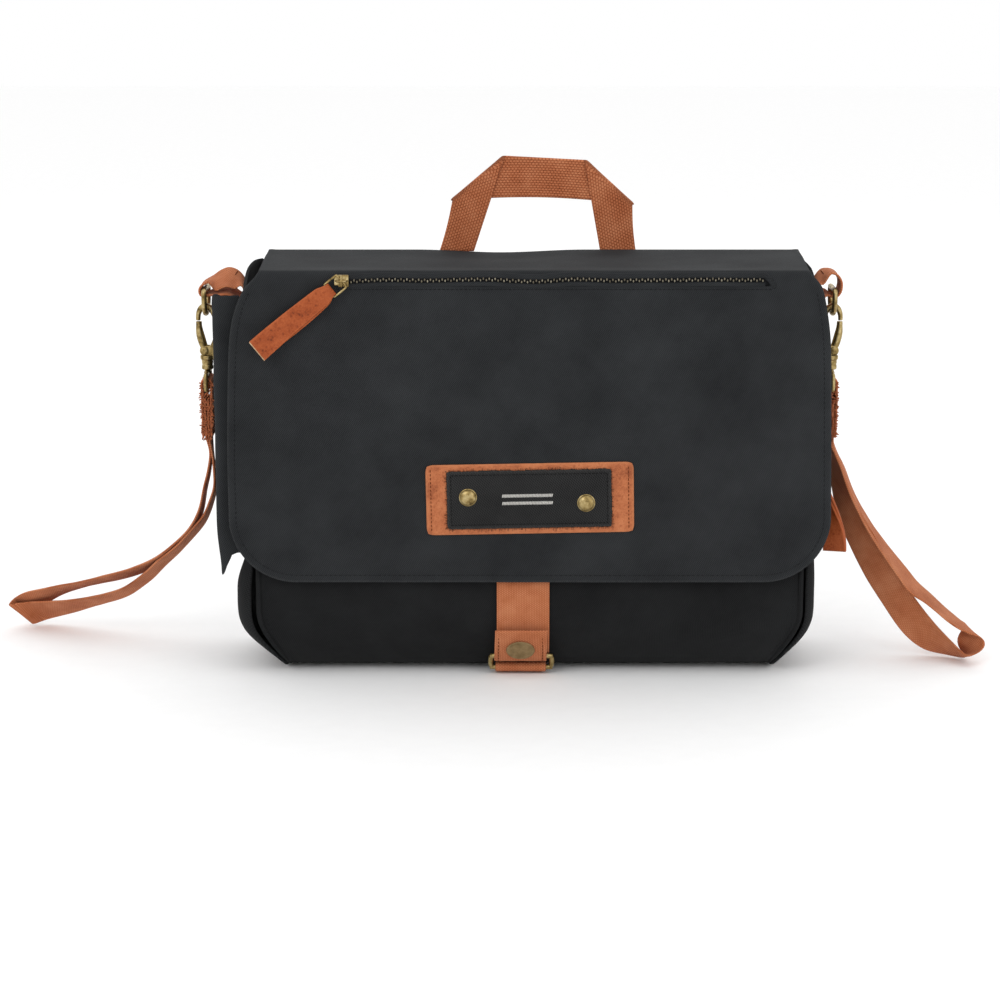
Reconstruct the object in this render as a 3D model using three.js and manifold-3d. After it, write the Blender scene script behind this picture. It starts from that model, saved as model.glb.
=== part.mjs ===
// Canvas messenger bag: body shell, flap with zipped pocket, strap closure, bottle pocket,
// side zipped pocket, carrying handle and two clip-on webbing straps.
// Millimetres. +X right, +Y back, +Z up. The bag stands on z = 0 and its front faces -Y.
import * as THREE from 'three';
import { mergeVertices } from 'three/addons/utils/BufferGeometryUtils.js';
import Module from 'manifold-3d';

const wasm = await Module();
wasm.setup();

// ---- driving dimensions ----
const GAP = 0.3;
const SHEET = 2.2;              // padded canvas wall
const LINING = 0.9;
const WEB = 1.6;                // webbing thickness
const WEB_WIDTH = 25;
const BODY_X = 198;             // half width at the side panels
const FRONT_Y = -56;
const BACK_Y = 57;
const FRONT_TOP = 268;
const BACK_TOP = 283.4;
const NOSE = { y: -14, z: 42, r: 42 };      // rounded lower front edge
const HEEL = { y: 40.3, z: 16.7, r: 16.7 }; // rounded lower back edge
const FLAP_TOP = 287;
const FLAP_CANVAS = 2.0;
const FLAP_FACE = -61.5;        // outer face of the hanging half
const FLAP_BACK = 58.3;
const FOLD_Y = -58.0;           // front edge of the lying half
const ZIP_Z = 280.5;
const ZIP_X = [-131, 163];
const PATCH = { x: 0, z: 129.1, w: 144, h: 50, tilt: 0.018 };
const LABEL = { x: -0.5, z: 129, w: 114, h: 41 };
const RIVETS = [[-42.8, 130.2], [38.8, 126.4]];
const CLOSURE_X = [-24.2, 12.6];
const BAR_UPPER = { y: -51.1, z: 14.0 };
const BAR_LOWER = { y: -46.0, z: 4.6 };
const CHAIN_Y = 15;
const RING_Z = 264.5;
const BOW_Z = 247.5;
const PIVOT_Z = 220.5;
const EYE_Z = [204.6, 194.0];
const PULL_REACH = 10.5;        // slider centre to the pull ring's outer bar

const group = new THREE.Group();
const v3 = (x, y, z) => new THREE.Vector3(x, y, z);

const FINISH = {
  canvas: [0x26292c, 0.95, 0],
  lining: [0x4a4d50, 0.9, 0],
  webbing: [0xb5683f, 0.9, 0],
  leather: [0xb9653a, 0.6, 0],
  pull_leather: [0xb5521f, 0.5, 0],
  label: [0x151618, 0.9, 0],
  brass: [0x8d7b43, 0.4, 0.9],
  zip_tape: [0x1b1d20, 0.9, 0],
  zip_teeth: [0x77705c, 0.5, 0.4],
};

// ---- helpers ----
function signedVolume(geometry) {
  const p = geometry.getAttribute('position');
  const at = (i) => v3(p.getX(i), p.getY(i), p.getZ(i));
  const index = geometry.getIndex().array;
  let sum = 0;
  for (let i = 0; i < index.length; i += 3) {
    sum += at(index[i]).dot(at(index[i + 1]).cross(at(index[i + 2])));
  }
  return sum / 6;
}

function seal(source) {
  source.deleteAttribute('normal');
  source.deleteAttribute('uv');
  const geometry = mergeVertices(source, 1e-4);
  if (signedVolume(geometry) < 0) {
    const index = geometry.getIndex().array;
    for (let i = 0; i < index.length; i += 3) {
      [index[i + 1], index[i + 2]] = [index[i + 2], index[i + 1]];
    }
  }
  return geometry;
}

function add(name, geometry, finish) {
  const [color, roughness, metalness] = FINISH[finish];
  const material = new THREE.MeshStandardMaterial({ color, roughness, metalness, flatShading: true });
  geometry.computeVertexNormals();
  const mesh = new THREE.Mesh(geometry, material);
  mesh.name = name;
  group.add(mesh);
}

function prism(outline, depth, holes, place) {
  const shape = new THREE.Shape(outline.map(([u, v]) => new THREE.Vector2(u, v)));
  for (const hole of holes) {
    shape.holes.push(new THREE.Path(hole.map(([u, v]) => new THREE.Vector2(u, v))));
  }
  const geometry = new THREE.ExtrudeGeometry(shape, { depth, bevelEnabled: false, steps: 1 });
  const p = geometry.getAttribute('position');
  for (let i = 0; i < p.count; i++) {
    const q = place(p.getX(i), p.getY(i), p.getZ(i));
    p.setXYZ(i, q[0], q[1], q[2]);
  }
  return seal(geometry);
}
// outlines are [y, z] for prismX, [x, z] for prismY and [x, y] for prismZ
const prismX = (o, a, b, holes = []) => prism(o, b - a, holes, (u, v, w) => [a + w, u, v]);
const prismY = (o, a, b, holes = []) => prism(o, b - a, holes, (u, v, w) => [u, a + w, v]);
const prismZ = (o, a, b, holes = []) => prism(o, b - a, holes, (u, v, w) => [u, v, a + w]);
const rect = (u0, u1, v0, v1) => [[u0, v0], [u1, v0], [u1, v1], [u0, v1]];
const box = (x0, x1, y0, y1, z0, z1) => prismZ(rect(x0, x1, y0, y1), z0, z1);

function arc(cu, cv, r, from, to, steps) {
  const points = [];
  for (let i = 0; i <= steps; i++) {
    const a = THREE.MathUtils.degToRad(from + ((to - from) * i) / steps);
    points.push([cu + r * Math.cos(a), cv + r * Math.sin(a)]);
  }
  return points;
}
const circle = (cu, cv, r, steps = 16) => arc(cu, cv, r, 0, 360, steps).slice(0, steps);

function roundedRect(cx, cz, w, h, r) {
  const [a, b] = [w / 2 - r, h / 2 - r];
  return [
    ...arc(cx + a, cz + b, r, 0, 90, 3), ...arc(cx - a, cz + b, r, 90, 180, 3),
    ...arc(cx - a, cz - b, r, 180, 270, 3), ...arc(cx + a, cz - b, r, 270, 360, 3),
  ];
}

// a strip of even thickness along a 2D line, returned as outline (and hole when closed)
function strip(line, thickness, closed = false) {
  const n = line.length;
  const side = (sign) => line.map(([u, v], i) => {
    const before = line[closed ? (i + n - 1) % n : Math.max(i - 1, 0)];
    const after = line[closed ? (i + 1) % n : Math.min(i + 1, n - 1)];
    const length = Math.hypot(after[0] - before[0], after[1] - before[1]);
    const k = (sign * thickness) / 2 / length;
    return [u - (after[1] - before[1]) * k, v + (after[0] - before[0]) * k];
  });
  const [a, b] = [side(1), side(-1)];
  if (!closed) return { outline: [...a, ...b.reverse()], holes: [] };
  const area = (o) => Math.abs(o.reduce((s, p, i) => {
    const q = o[(i + 1) % o.length];
    return s + p[0] * q[1] - q[0] * p[1];
  }, 0));
  return area(a) > area(b) ? { outline: a, holes: [b] } : { outline: b, holes: [a] };
}

// skin over a row of sections; a closed row makes a ring. From the section number turned on, each
// quad is split the other way, so that two strands of one strap are faceted alike.
function loft(sections, closed = false, turned = Infinity) {
  const count = sections[0].length;
  const index = [];
  const spans = closed ? sections.length : sections.length - 1;
  for (let i = 0; i < spans; i++) {
    const a = i * count;
    const b = ((i + 1) % sections.length) * count;
    for (let j = 0; j < count; j++) {
      const k = (j + 1) % count;
      if (i < turned) index.push(a + j, b + j, b + k, a + j, b + k, a + k);
      else index.push(a + j, b + j, a + k, b + j, b + k, a + k);
    }
  }
  const last = (sections.length - 1) * count;
  for (let j = 1; j < count - 1 && !closed; j++) {
    index.push(0, j, j + 1, last, last + j + 1, last + j);
  }
  const geometry = new THREE.BufferGeometry();
  const flat = sections.flat().flatMap((p) => [p.x, p.y, p.z]);
  geometry.setAttribute('position', new THREE.Float32BufferAttribute(flat, 3));
  geometry.setIndex(index);
  return seal(geometry);
}

// round wire bent in one plane; across is that plane's normal
function wire(points, radius, across, closed = true, sides = 8) {
  const n = points.length;
  const sections = points.map((p, i) => {
    const before = points[closed ? (i + n - 1) % n : Math.max(i - 1, 0)];
    const after = points[closed ? (i + 1) % n : Math.min(i + 1, n - 1)];
    const out = after.clone().sub(before).normalize().cross(across).normalize();
    return circle(0, 0, radius, sides).map(([a, b]) => (
      p.clone().addScaledVector(out, a).addScaledVector(across, b)));
  });
  return loft(sections, closed);
}

// flat bar of rectangular section along a line in the XZ plane
function bar(line, width, y0, y1) {
  const n = line.length;
  const sections = line.map(([x, z], i) => {
    const [bx, bz] = line[Math.max(i - 1, 0)];
    const [ax, az] = line[Math.min(i + 1, n - 1)];
    const length = Math.hypot(ax - bx, az - bz);
    const [ox, oz] = [(-(az - bz) / length) * (width / 2), ((ax - bx) / length) * (width / 2)];
    return [v3(x + ox, y0, z + oz), v3(x + ox, y1, z + oz), v3(x - ox, y1, z - oz), v3(x - ox, y0, z - oz)];
  });
  return loft(sections);
}

function lathe(profile, place) {
  const geometry = new THREE.LatheGeometry(profile.map(([r, h]) => new THREE.Vector2(r, h)), 16);
  geometry.applyMatrix4(place);
  return seal(geometry);
}
// lathe axis turned along a direction, base at a point
function along(point, direction) {
  const turn = new THREE.Quaternion().setFromUnitVectors(v3(0, 1, 0), direction.clone().normalize());
  return new THREE.Matrix4().compose(point, turn, v3(1, 1, 1));
}

function toSolid(geometry) {
  return new wasm.Manifold(new wasm.Mesh({
    numProp: 3,
    vertProperties: new Float32Array(geometry.getAttribute('position').array),
    triVerts: new Uint32Array(geometry.getIndex().array),
  }));
}
function fromSolid(solid) {
  const mesh = solid.getMesh();
  const geometry = new THREE.BufferGeometry();
  geometry.setAttribute('position', new THREE.Float32BufferAttribute(Array.from(mesh.vertProperties), 3));
  geometry.setIndex(Array.from(mesh.triVerts));
  return seal(geometry);
}
const cut = (base, ...tools) => fromSolid(tools.reduce((s, t) => s.subtract(toSolid(t)), toSolid(base)));
const join = (...parts) => fromSolid(parts.slice(1).reduce((s, t) => s.add(toSolid(t)), toSolid(parts[0])));

// ---- body ----
function bodyOutline(inset, top) {
  return [
    [FRONT_Y + inset, top], ...arc(NOSE.y, NOSE.z, NOSE.r - inset, 180, 270, 8),
    ...arc(HEEL.y, HEEL.z, HEEL.r - inset, 270, 360, 5), [BACK_Y - inset, top],
  ];
}
const inner = SHEET + GAP;
add('front_panel', prismX([
  [FRONT_Y, FRONT_TOP], ...arc(NOSE.y, NOSE.z, NOSE.r, 180, 270, 8),
  ...arc(NOSE.y, NOSE.z, NOSE.r - SHEET, 270, 180, 8), [FRONT_Y + SHEET, FRONT_TOP],
], -BODY_X, BODY_X), 'canvas');
add('base_panel', prismX(rect(NOSE.y + GAP, HEEL.y - GAP, 0, SHEET), -BODY_X, BODY_X), 'canvas');
add('back_panel', prismX([
  ...arc(HEEL.y, HEEL.z, HEEL.r, 270, 360, 5), [BACK_Y, BACK_TOP], [BACK_Y - SHEET, BACK_TOP],
  ...arc(HEEL.y, HEEL.z, HEEL.r - SHEET, 360, 270, 5),
], -BODY_X, BODY_X), 'canvas');
const gussetOutline = bodyOutline(inner, FRONT_TOP);
gussetOutline[gussetOutline.length - 1][1] = 281;
add('left_gusset', prismX(gussetOutline, -BODY_X, -BODY_X + SHEET), 'canvas');
add('right_gusset', prismX(gussetOutline, BODY_X - SHEET, BODY_X), 'canvas');
const liningX = BODY_X - inner;
add('lining', cut(
  prismX(bodyOutline(inner, 262), -liningX, liningX),
  prismX(bodyOutline(inner + LINING, 300), -liningX + LINING, liningX - LINING),
), 'lining');

// ---- bottle pocket on the left side panel ----
const pocketShell = prismX([[-52, 70], [50, 70], [50, 250], [-52, 270]], -219, -BODY_X - GAP);
const pocketHollow = prismX(rect(-50.4, 48.4, 71.6, 300), -217.4, -190);
add('bottle_pocket', cut(pocketShell, pocketHollow), 'canvas');

// ---- flap: lying half and hanging half ----
const topOutline = [[-187, FLAP_BACK], [194, FLAP_BACK], [190, FOLD_Y], [-185, FOLD_Y]];
add('flap_top_canvas', prismZ(topOutline, FLAP_TOP - FLAP_CANVAS, FLAP_TOP), 'canvas');
add('flap_top_lining', prismZ(
  topOutline, FLAP_TOP - FLAP_CANVAS - GAP - LINING, FLAP_TOP - FLAP_CANVAS - GAP), 'lining');
const hangOutline = [
  [-184, FLAP_TOP], [-195.5, 274], [-202.5, 257], [-206, 235], [-208.5, 160],
  ...arc(-162, 116, 46.5, 180, 270, 6), ...arc(162, 116, 46.5, 270, 360, 6),
  [207.5, 160], [205.5, 235], [203, 257], [198.5, 276], [190, FLAP_TOP],
];
const canvasBack = FLAP_FACE + FLAP_CANVAS;
const zipSlot = box(ZIP_X[0], ZIP_X[1], -70, canvasBack + 0.1, ZIP_Z - 4, ZIP_Z + 4);
add('flap_front_canvas', cut(prismY(hangOutline, FLAP_FACE, canvasBack), zipSlot), 'canvas');
add('flap_front_lining', prismY(hangOutline, canvasBack + GAP, canvasBack + GAP + LINING), 'lining');
add('flap_zip_tape', box(
  ZIP_X[0] + GAP, ZIP_X[1] - GAP, canvasBack - 1.1, canvasBack - 0.1, ZIP_Z - 3.7, ZIP_Z + 3.7), 'zip_tape');
add('flap_zip_teeth', box(
  ZIP_X[0] + 3, ZIP_X[1] - 3, canvasBack - 2.4, canvasBack - 1.4, ZIP_Z - 1.3, ZIP_Z + 1.3), 'zip_teeth');

// ---- leather patch, label and rivets ----
const patchFace = FLAP_FACE - GAP - 1.3;
const labelFace = patchFace - GAP - 0.7;
const rivetHoles = RIVETS.map(([x, z]) => prismY(circle(x, z, 2.2), -70, -60));
const tilt = (geometry) => {
  geometry.translate(0, 0, -PATCH.z);
  geometry.rotateY(-PATCH.tilt);
  return geometry.translate(0, 0, PATCH.z);
};
add('leather_patch', cut(tilt(
  prismY(roundedRect(PATCH.x, PATCH.z, PATCH.w, PATCH.h, 5), patchFace, patchFace + 1.3)), ...rivetHoles), 'leather');
add('canvas_label', cut(tilt(
  prismY(roundedRect(LABEL.x, LABEL.z, LABEL.w, LABEL.h, 2), labelFace, labelFace + 0.7)), ...rivetHoles), 'label');
const rivet = [[0, 0], [1.8, 0], [1.8, 2.6], [5.6, 2.6], [5.4, 3.3], [4.0, 4.1], [2.0, 4.5], [0, 4.6]];
RIVETS.forEach(([x, z], i) => {
  const base = v3(x, FLAP_FACE - GAP, z);
  add(i ? 'rivet_right' : 'rivet_left', lathe(rivet, along(base, v3(0, -1, 0))), 'brass');
});

// ---- closure: strap on the flap, folded end with press stud, ring and anchor loop ----
const noseArc = (r, from, to, steps) => arc(NOSE.y, NOSE.z, r, 180 + from, 180 + to, steps);
const strandR = NOSE.r + 0.4;
add('closure_strap', prismX([
  [NOSE.y - strandR, 185], ...noseArc(strandR, 0, 43, 6),
  ...noseArc(strandR + WEB, 43, 0, 6), [NOSE.y - strandR - WEB, 185],
], CLOSURE_X[0], CLOSURE_X[1]), 'webbing');
const tailR = Math.hypot(BAR_UPPER.y - NOSE.y, BAR_UPPER.z - NOSE.z) + 2.5;
const barAngle = THREE.MathUtils.radToDeg(Math.atan2(NOSE.z - BAR_UPPER.z, NOSE.y - BAR_UPPER.y));
add('closure_tail', prismX([
  ...noseArc(tailR + WEB, 7, barAngle, 5),
  ...arc(BAR_UPPER.y, BAR_UPPER.z, 2.5 + WEB, 180 + barAngle + 15, 180 + barAngle + 45, 2),
  ...arc(BAR_UPPER.y, BAR_UPPER.z, 2.5, 180 + barAngle + 45, 180 + barAngle + 15, 2),
  ...noseArc(tailR, barAngle, 7, 5),
], CLOSURE_X[0] - 0.6, CLOSURE_X[1] - 0.6), 'webbing');
const snapAngle = THREE.MathUtils.degToRad(25.4);
const snapOut = v3(0, -Math.cos(snapAngle), -Math.sin(snapAngle));
const snapAt = (r) => v3(-6.4, NOSE.y, NOSE.z).addScaledVector(snapOut, r);
const strandFace = strandR + WEB + 0.25;
add('snap_stud', lathe(
  [[0, 0], [5.5, 0], [5.5, 0.8], [1.9, 0.8], [1.9, 2.6], [0, 2.6]], along(snapAt(strandFace), snapOut)), 'brass');
add('snap_socket', lathe(
  [[2.4, 0], [6, 0], [6, 2.2], [2.4, 2.2], [2.4, 0]], along(snapAt(tailR - 2.65), snapOut)), 'brass');
add('snap_cap', lathe(
  [[0, 0], [10, 0], [9.8, 0.7], [8.6, 1.5], [5, 2.1], [0, 2.3]], along(snapAt(tailR + WEB + 0.25), snapOut)), 'brass');
const ringX = [-27.2, 15.6];
const ringPoints = [
  [ringX[0] + 2, 0], [ringX[1] - 2, 0], [ringX[1], 0.18], [ringX[1], 0.82],
  [ringX[1] - 2, 1], [ringX[0] + 2, 1], [ringX[0], 0.82], [ringX[0], 0.18],
].map(([x, t]) => v3(
  x, THREE.MathUtils.lerp(BAR_UPPER.y, BAR_LOWER.y, t), THREE.MathUtils.lerp(BAR_UPPER.z, BAR_LOWER.z, t)));
const ringNormal = v3(0, BAR_UPPER.z - BAR_LOWER.z, BAR_LOWER.y - BAR_UPPER.y).normalize();
add('closure_ring', wire(ringPoints, 1.5, ringNormal), 'brass');
const anchorLine = [
  [-33.5, 1.0], [-40, 1.1], [-46, 1.8], [-48.1, 3.2], [-48.8, 5.2], [-47.6, 7], [-45.4, 7.5], [-42.5, 6.4], [-37.5, 5.0], [-34, 3.4],
];
const anchor = strip(anchorLine, 1.3);
add('ring_anchor', prismX(anchor.outline, CLOSURE_X[0] + 0.3, CLOSURE_X[1] - 1, anchor.holes), 'webbing');

// ---- zip sliders and leather pulls ----
// local frame of a slider: origin on the tape, out = away from the tape, pull = where the leather hangs
function slider(name, origin, out, up, side) {
  const piece = (s0, s1, o0, o1, u0, u1) => box(s0, s1, o0, o1, u0, u1);
  const geometry = join(
    piece(-5.2, 5.2, 0, 2.3, -4.2, 4.2), piece(-0.8, 0.8, 2, 5.3, 2.9, 4.2),
    piece(-0.8, 0.8, 2, 5.3, -4.2, -2.9), piece(-0.8, 0.8, 4.3, 5.3, -4.2, 4.2));
  geometry.applyMatrix4(new THREE.Matrix4().makeBasis(side, out, up).setPosition(origin));
  add(name, seal(geometry), 'brass');
}
// pull ring and folded leather: d = hanging direction, w = width direction, t = thickness direction
function pull(prefix, centre, d, w, t, twist) {
  const place = new THREE.Matrix4().makeBasis(w, t, d).setPosition(centre);
  const ring = wire([
    v3(-4.6, 0, 0), v3(4.6, 0, 0), v3(5.4, 0, 0.8), v3(5.4, 0, PULL_REACH - 0.8),
    v3(4.6, 0, PULL_REACH), v3(-4.6, 0, PULL_REACH), v3(-5.4, 0, PULL_REACH - 0.8), v3(-5.4, 0, 0.8)], 0.75, v3(0, 1, 0), true, 6);
  add(`${prefix}_zip_ring`, seal(ring.applyMatrix4(place)), 'brass');
  const end = 74;
  const outline = [
    ...arc(PULL_REACH, 0, 2.6, 90, 270, 6), [16, -2.0], [end, -1.55], [end, 1.55], [16, 2.0]];
  const slit = arc(PULL_REACH, 0, 1.15, 90, 270, 4).concat([[14, -0.25], [14, 0.25]]);
  const throat = prismX(outline, -4.2, 4.2, [slit]);
  const wide = prismX([[13, -2.1], [16, -2.0], [end, -1.55], [end, 1.55], [16, 2.0], [13, 2.1]], -8.2, 8.2);
  const notch = prismX([[7, -1.15], [14, -0.25], [14, 0.25], [7, 1.15]], -9, 9);
  const leather = join(throat, cut(wide, notch));
  const turn = new THREE.Matrix4().makeRotationZ(twist);
  const toLocal = new THREE.Matrix4().makeBasis(v3(1, 0, 0), v3(0, 0, 1), v3(0, 1, 0));
  leather.applyMatrix4(toLocal.transpose().invert());
  leather.applyMatrix4(turn);
  leather.applyMatrix4(place);
  add(`${prefix}_zip_puller`, seal(leather), 'pull_leather');
}
const flapTeethFace = canvasBack - 2.4;
const flapSliderAt = v3(-128.5, flapTeethFace - GAP, ZIP_Z);
slider('flap_zip_slider', flapSliderAt, v3(0, -1, 0), v3(0, 0, 1), v3(1, 0, 0));
const pullTilt = THREE.MathUtils.degToRad(36);
const pullDown = v3(-Math.cos(pullTilt), 0, -Math.sin(pullTilt));
const pullWide = v3(Math.sin(pullTilt), 0, -Math.cos(pullTilt));
pull('flap', flapSliderAt.clone().add(v3(0, -3.3, 0)), pullDown, pullWide, v3(0, -1, 0), 0);

const SIDE_ZIP = { z: 158, y: [-44, 44], slider: -30 };
add('side_zip_tape', box(
  BODY_X + GAP, BODY_X + GAP + 0.8, SIDE_ZIP.y[0], SIDE_ZIP.y[1], SIDE_ZIP.z - 8, SIDE_ZIP.z + 8), 'zip_tape');
add('side_zip_teeth', box(BODY_X + 1.4, BODY_X + 2.4, -41, 41, SIDE_ZIP.z - 1.3, SIDE_ZIP.z + 1.3), 'zip_teeth');
const sideSliderAt = v3(BODY_X + 2.7, SIDE_ZIP.slider, SIDE_ZIP.z);
slider('side_zip_slider', sideSliderAt, v3(1, 0, 0), v3(0, 0, 1), v3(0, 1, 0));
pull('side', sideSliderAt.clone().add(v3(3.3, 0, 0)), v3(0, 0, -1), v3(0, 1, 0), v3(1, 0, 0), 0);

// ---- carrying handle ----
const HANDLE_LEGS = [[-64, -39], [51.5, 77]];
add('handle', prismY([
  [-64, 287.6], [-55, 322], [-17, 354], [39.5, 351], [74.5, 319],
  [77, 287.6], [51.5, 287.6], [45.5, 325], [-29, 327], [-39, 287.6],
], 58.7, 60.5), 'webbing');
HANDLE_LEGS.forEach(([x0, x1], i) => {
  add(i ? 'handle_end_right' : 'handle_end_left', prismX([
    [57.3, 238], [59.1, 238], [59.1, 276], [60.5, 281], [60.5, 286.4],
    [58.7, 286.4], [58.7, 281.5], [57.3, 276.5],
  ], x0, x1), 'webbing');
});

// ---- one strap chain per side: tab, ring, snap hook, swivel eye, webbing strap ----
const TAB_LINES = {
  left: [
    [-200.2, 260], [-200.8, 266.5], [-204, 272.5], [-208.5, 275.6], [-214, 276.5], [-221.5, 273],
    [-229.5, 268.6], [-232, 265], [-231.2, 261.4], [-228.2, 260.4], [-223, 262.3], [-213, 264], [-205, 259.5],
  ],
  right: [
    [200.2, 260], [200.6, 266], [203.5, 272], [207.5, 275.8], [212, 277], [216.5, 275.2],
    [219.3, 270.5], [219.2, 264.8], [217, 261], [213.5, 260], [208.5, 262], [204.5, 258.5],
  ],
};
// strap centre line: [x, y, z], width direction, half distance between the two strands
const STRAP_LINES = {
  left: [
    [[-228.5, 15, 187], [0, -1, 0], 1.0], [[-228.5, 15, 160], [0, -1, 0], 1.0],
    [[-227.6, 15, 146], [0.08, -0.99, 0.1], 1.05], [[-227.2, 16, 131], [0.12, -0.98, 0.15], 1.3],
    [[-229.5, 19, 117], [0.21, -0.96, 0.16], 1.8], [[-234.5, 23.5, 99], [0.28, -0.95, 0.1], 2.2],
    [[-243.8, 31.5, 80], [0.33, -0.94, 0.07], 1.6], [[-259.5, 40.5, 61.7], [0.37, -0.92, -0.07], 1.3],
    [[-283.7, 51.5, 45], [0.26, -0.96, -0.06], 2.6], [[-311, 63, 32], [0.2, -0.98, 0], 5.4],
    [[-335.5, 74, 23], [0.2, -0.97, -0.07], 6.8], [[-356, 83.5, 15.5], [0.3, -0.93, -0.2], 6.2],
    [[-369, 89, 12.5], [0.42, -0.86, -0.3], 4.6],
  ],
  right: [
    [[214.5, 15, 187], [0, -1, 0], 1.0], [[214.5, 15, 160], [0, -1, 0], 1.0],
    [[216.6, 15, 146], [0.1, -0.99, 0.05], 1.05], [[222, 14, 125], [0.28, -0.94, 0.15], 1.2],
    [[230, 12.5, 108], [0.42, -0.87, 0.25], 1.5], [[239, 10, 89], [0.5, -0.8, 0.33], 2.0],
    [[254, 7.5, 68], [0.52, -0.74, 0.42], 2.5], [[269.6, 5.5, 48], [0.5, -0.7, 0.5], 3.2],
    [[285, 4, 32], [0.45, -0.65, 0.6], 4.4], [[298, 3, 20], [0.4, -0.58, 0.7], 5.2],
    [[308, 3, 13.5], [0.3, -0.52, 0.8], 4.8],
  ],
};

function strapLoop(stations) {
  const n = stations.length;
  const rows = stations.map(([c, w, half], i) => {
    const before = v3(...stations[Math.max(i - 1, 0)][0]);
    const after = v3(...stations[Math.min(i + 1, n - 1)][0]);
    const tangent = after.sub(before).normalize();
    const normal = tangent.clone().cross(v3(...w)).normalize();
    const wide = normal.clone().cross(tangent).normalize();
    return { centre: v3(...c), tangent, normal, wide, half };
  });
  const section = (p, normal, wide) => [[1, 1], [1, -1], [-1, -1], [-1, 1]].map(([a, b]) => (
    p.clone().addScaledVector(normal, (a * WEB) / 2).addScaledVector(wide, (b * WEB_WIDTH) / 2)));
  const there = rows.map((r) => section(r.centre.clone().addScaledVector(r.normal, r.half), r.normal, r.wide));
  const back = rows.map((r) => (
    section(r.centre.clone().addScaledVector(r.normal, -r.half), r.normal.clone().negate(), r.wide)));
  const tip = rows[n - 1];
  const bend = [];
  for (let k = 1; k < 6; k++) {
    const a = (Math.PI * k) / 6;
    const normal = tip.normal.clone().multiplyScalar(Math.cos(a)).addScaledVector(tip.tangent, Math.sin(a));
    bend.push(section(tip.centre.clone().addScaledVector(normal, tip.half), normal, tip.wide));
  }
  return loft([...there, ...bend, ...back.reverse()], false, n + bend.length);
}

function chain(side, x) {
  const s = Math.sign(x);
  const y = CHAIN_Y;
  const tab = strip(TAB_LINES[side], WEB, true);
  add(`${side}_tab`, cut(
    prismY(tab.outline, y - 12.5, y + 12.5), prismY(tab.holes[0], y - 20, y + 20)), 'webbing');

  const half = [[14.8, 259], [13.6, 254.5], [10, 250], [4.5, BOW_Z]];
  const bow = [
    [-13, RING_Z], [13, RING_Z], [14.8, RING_Z - 1.8], ...half,
    ...half.map(([a, b]) => [-a, b]).reverse(), [-14.8, RING_Z - 1.8],
  ];
  add(`${side}_d_ring`, wire(bow.map(([a, b]) => v3(x, y + a, b)), 1.9, v3(1, 0, 0)), 'brass');

  const at = (line) => line.map(([u, z]) => [x + s * u, z]);
  const clawLine = at([
    [-3.6, 222], [-6.0, 227], [-7.3, 233], [-7.2, 240], [-5.4, 246.6],
    [-2.4, 250.9], [1.2, 251.9], [4.6, 249.6], [6.6, 244.4]]);
  const claw = bar(clawLine, 3.4, y - 2, y + 2);
  const outerBox = (u0, u1, y0, y1, z0, z1) => (
    box(Math.min(x + s * u0, x + s * u1), Math.max(x + s * u0, x + s * u1), y + y0, y + y1, z0, z1));
  const pinX = x + s * 1.5;
  const cheeks = [[-3.1, -1.9], [1.9, 3.1]].flatMap(([a, b]) => [
    outerBox(-5.5, 1.5, a, b, 215, 224), prismY(circle(pinX, PIVOT_Z, 3.6), y + a, y + b)]);
  const upright = (r, z0, z1) => lathe([[0, 0], [r, 0], [r, z1 - z0], [0, z1 - z0]], along(v3(x, y, z0), v3(0, 0, 1)));
  const whole = join(
    claw, outerBox(-5.5, -1.8, -3.1, 3.1, 214, 224), ...cheeks,
    outerBox(-5.0, 5.0, -3.1, 3.1, 213.8, 217.2), upright(4.0, 206.8, 214.5));
  add(`${side}_hook_body`, cut(
    whole, prismY(circle(pinX, PIVOT_Z, 1.4), y - 5, y + 5), upright(2.4, 206, 209.3),
    upright(3.2, 209.2, 212.9)), 'brass');
  add(`${side}_gate_pin`, lathe(
    [[0, -4.1], [2.6, -4.1], [2.6, -3.4], [1.2, -3.4], [1.2, 3.4], [2.6, 3.4], [2.6, 4.1], [0, 4.1]],
    new THREE.Matrix4().setPosition(pinX, y, PIVOT_Z)), 'brass');
  const gateLine = at([[2.2, 221.8], [4.8, 226], [6.7, 231.5], [7.4, 237], [7.1, 242.3]]);
  const gate = join(bar(gateLine, 2.6, y - 1.5, y + 1.5), prismY(circle(pinX, PIVOT_Z, 2.9), y - 1.5, y + 1.5));
  add(`${side}_hook_gate`, cut(gate, prismY(circle(pinX, PIVOT_Z, 1.45), y - 5, y + 5)), 'brass');

  const eyePoints = [
    [-13, EYE_Z[0]], [13, EYE_Z[0]], [14.7, EYE_Z[0] - 1.6], [14.7, EYE_Z[1] + 1.6],
    [13, EYE_Z[1]], [-13, EYE_Z[1]], [-14.7, EYE_Z[1] + 1.6], [-14.7, EYE_Z[0] - 1.6],
  ].map(([a, b]) => v3(x, y + a, b));
  add(`${side}_swivel_eye`, join(
    wire(eyePoints, 1.7, v3(1, 0, 0)), upright(2.0, 204.6, 210.5), upright(2.9, 209.7, 211.9)), 'brass');

  const fold = prismY([
    [x - 4.0, 159], ...arc(x, EYE_Z[1], 4.0, 180, 0, 8), [x + 4.0, 159],
    [x + 2.3, 159], ...arc(x, EYE_Z[1], 2.3, 0, 180, 8), [x - 2.3, 159],
  ], y - 12.5, y + 12.5);
  add(`${side}_strap_fold`, fold, 'webbing');
  add(`${side}_strap`, strapLoop(STRAP_LINES[side]), 'webbing');
}
chain('left', -228.5);
chain('right', 214.5);

export default group;
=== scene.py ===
import math
import random

import bpy
from mathutils import Matrix, Vector, noise


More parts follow.
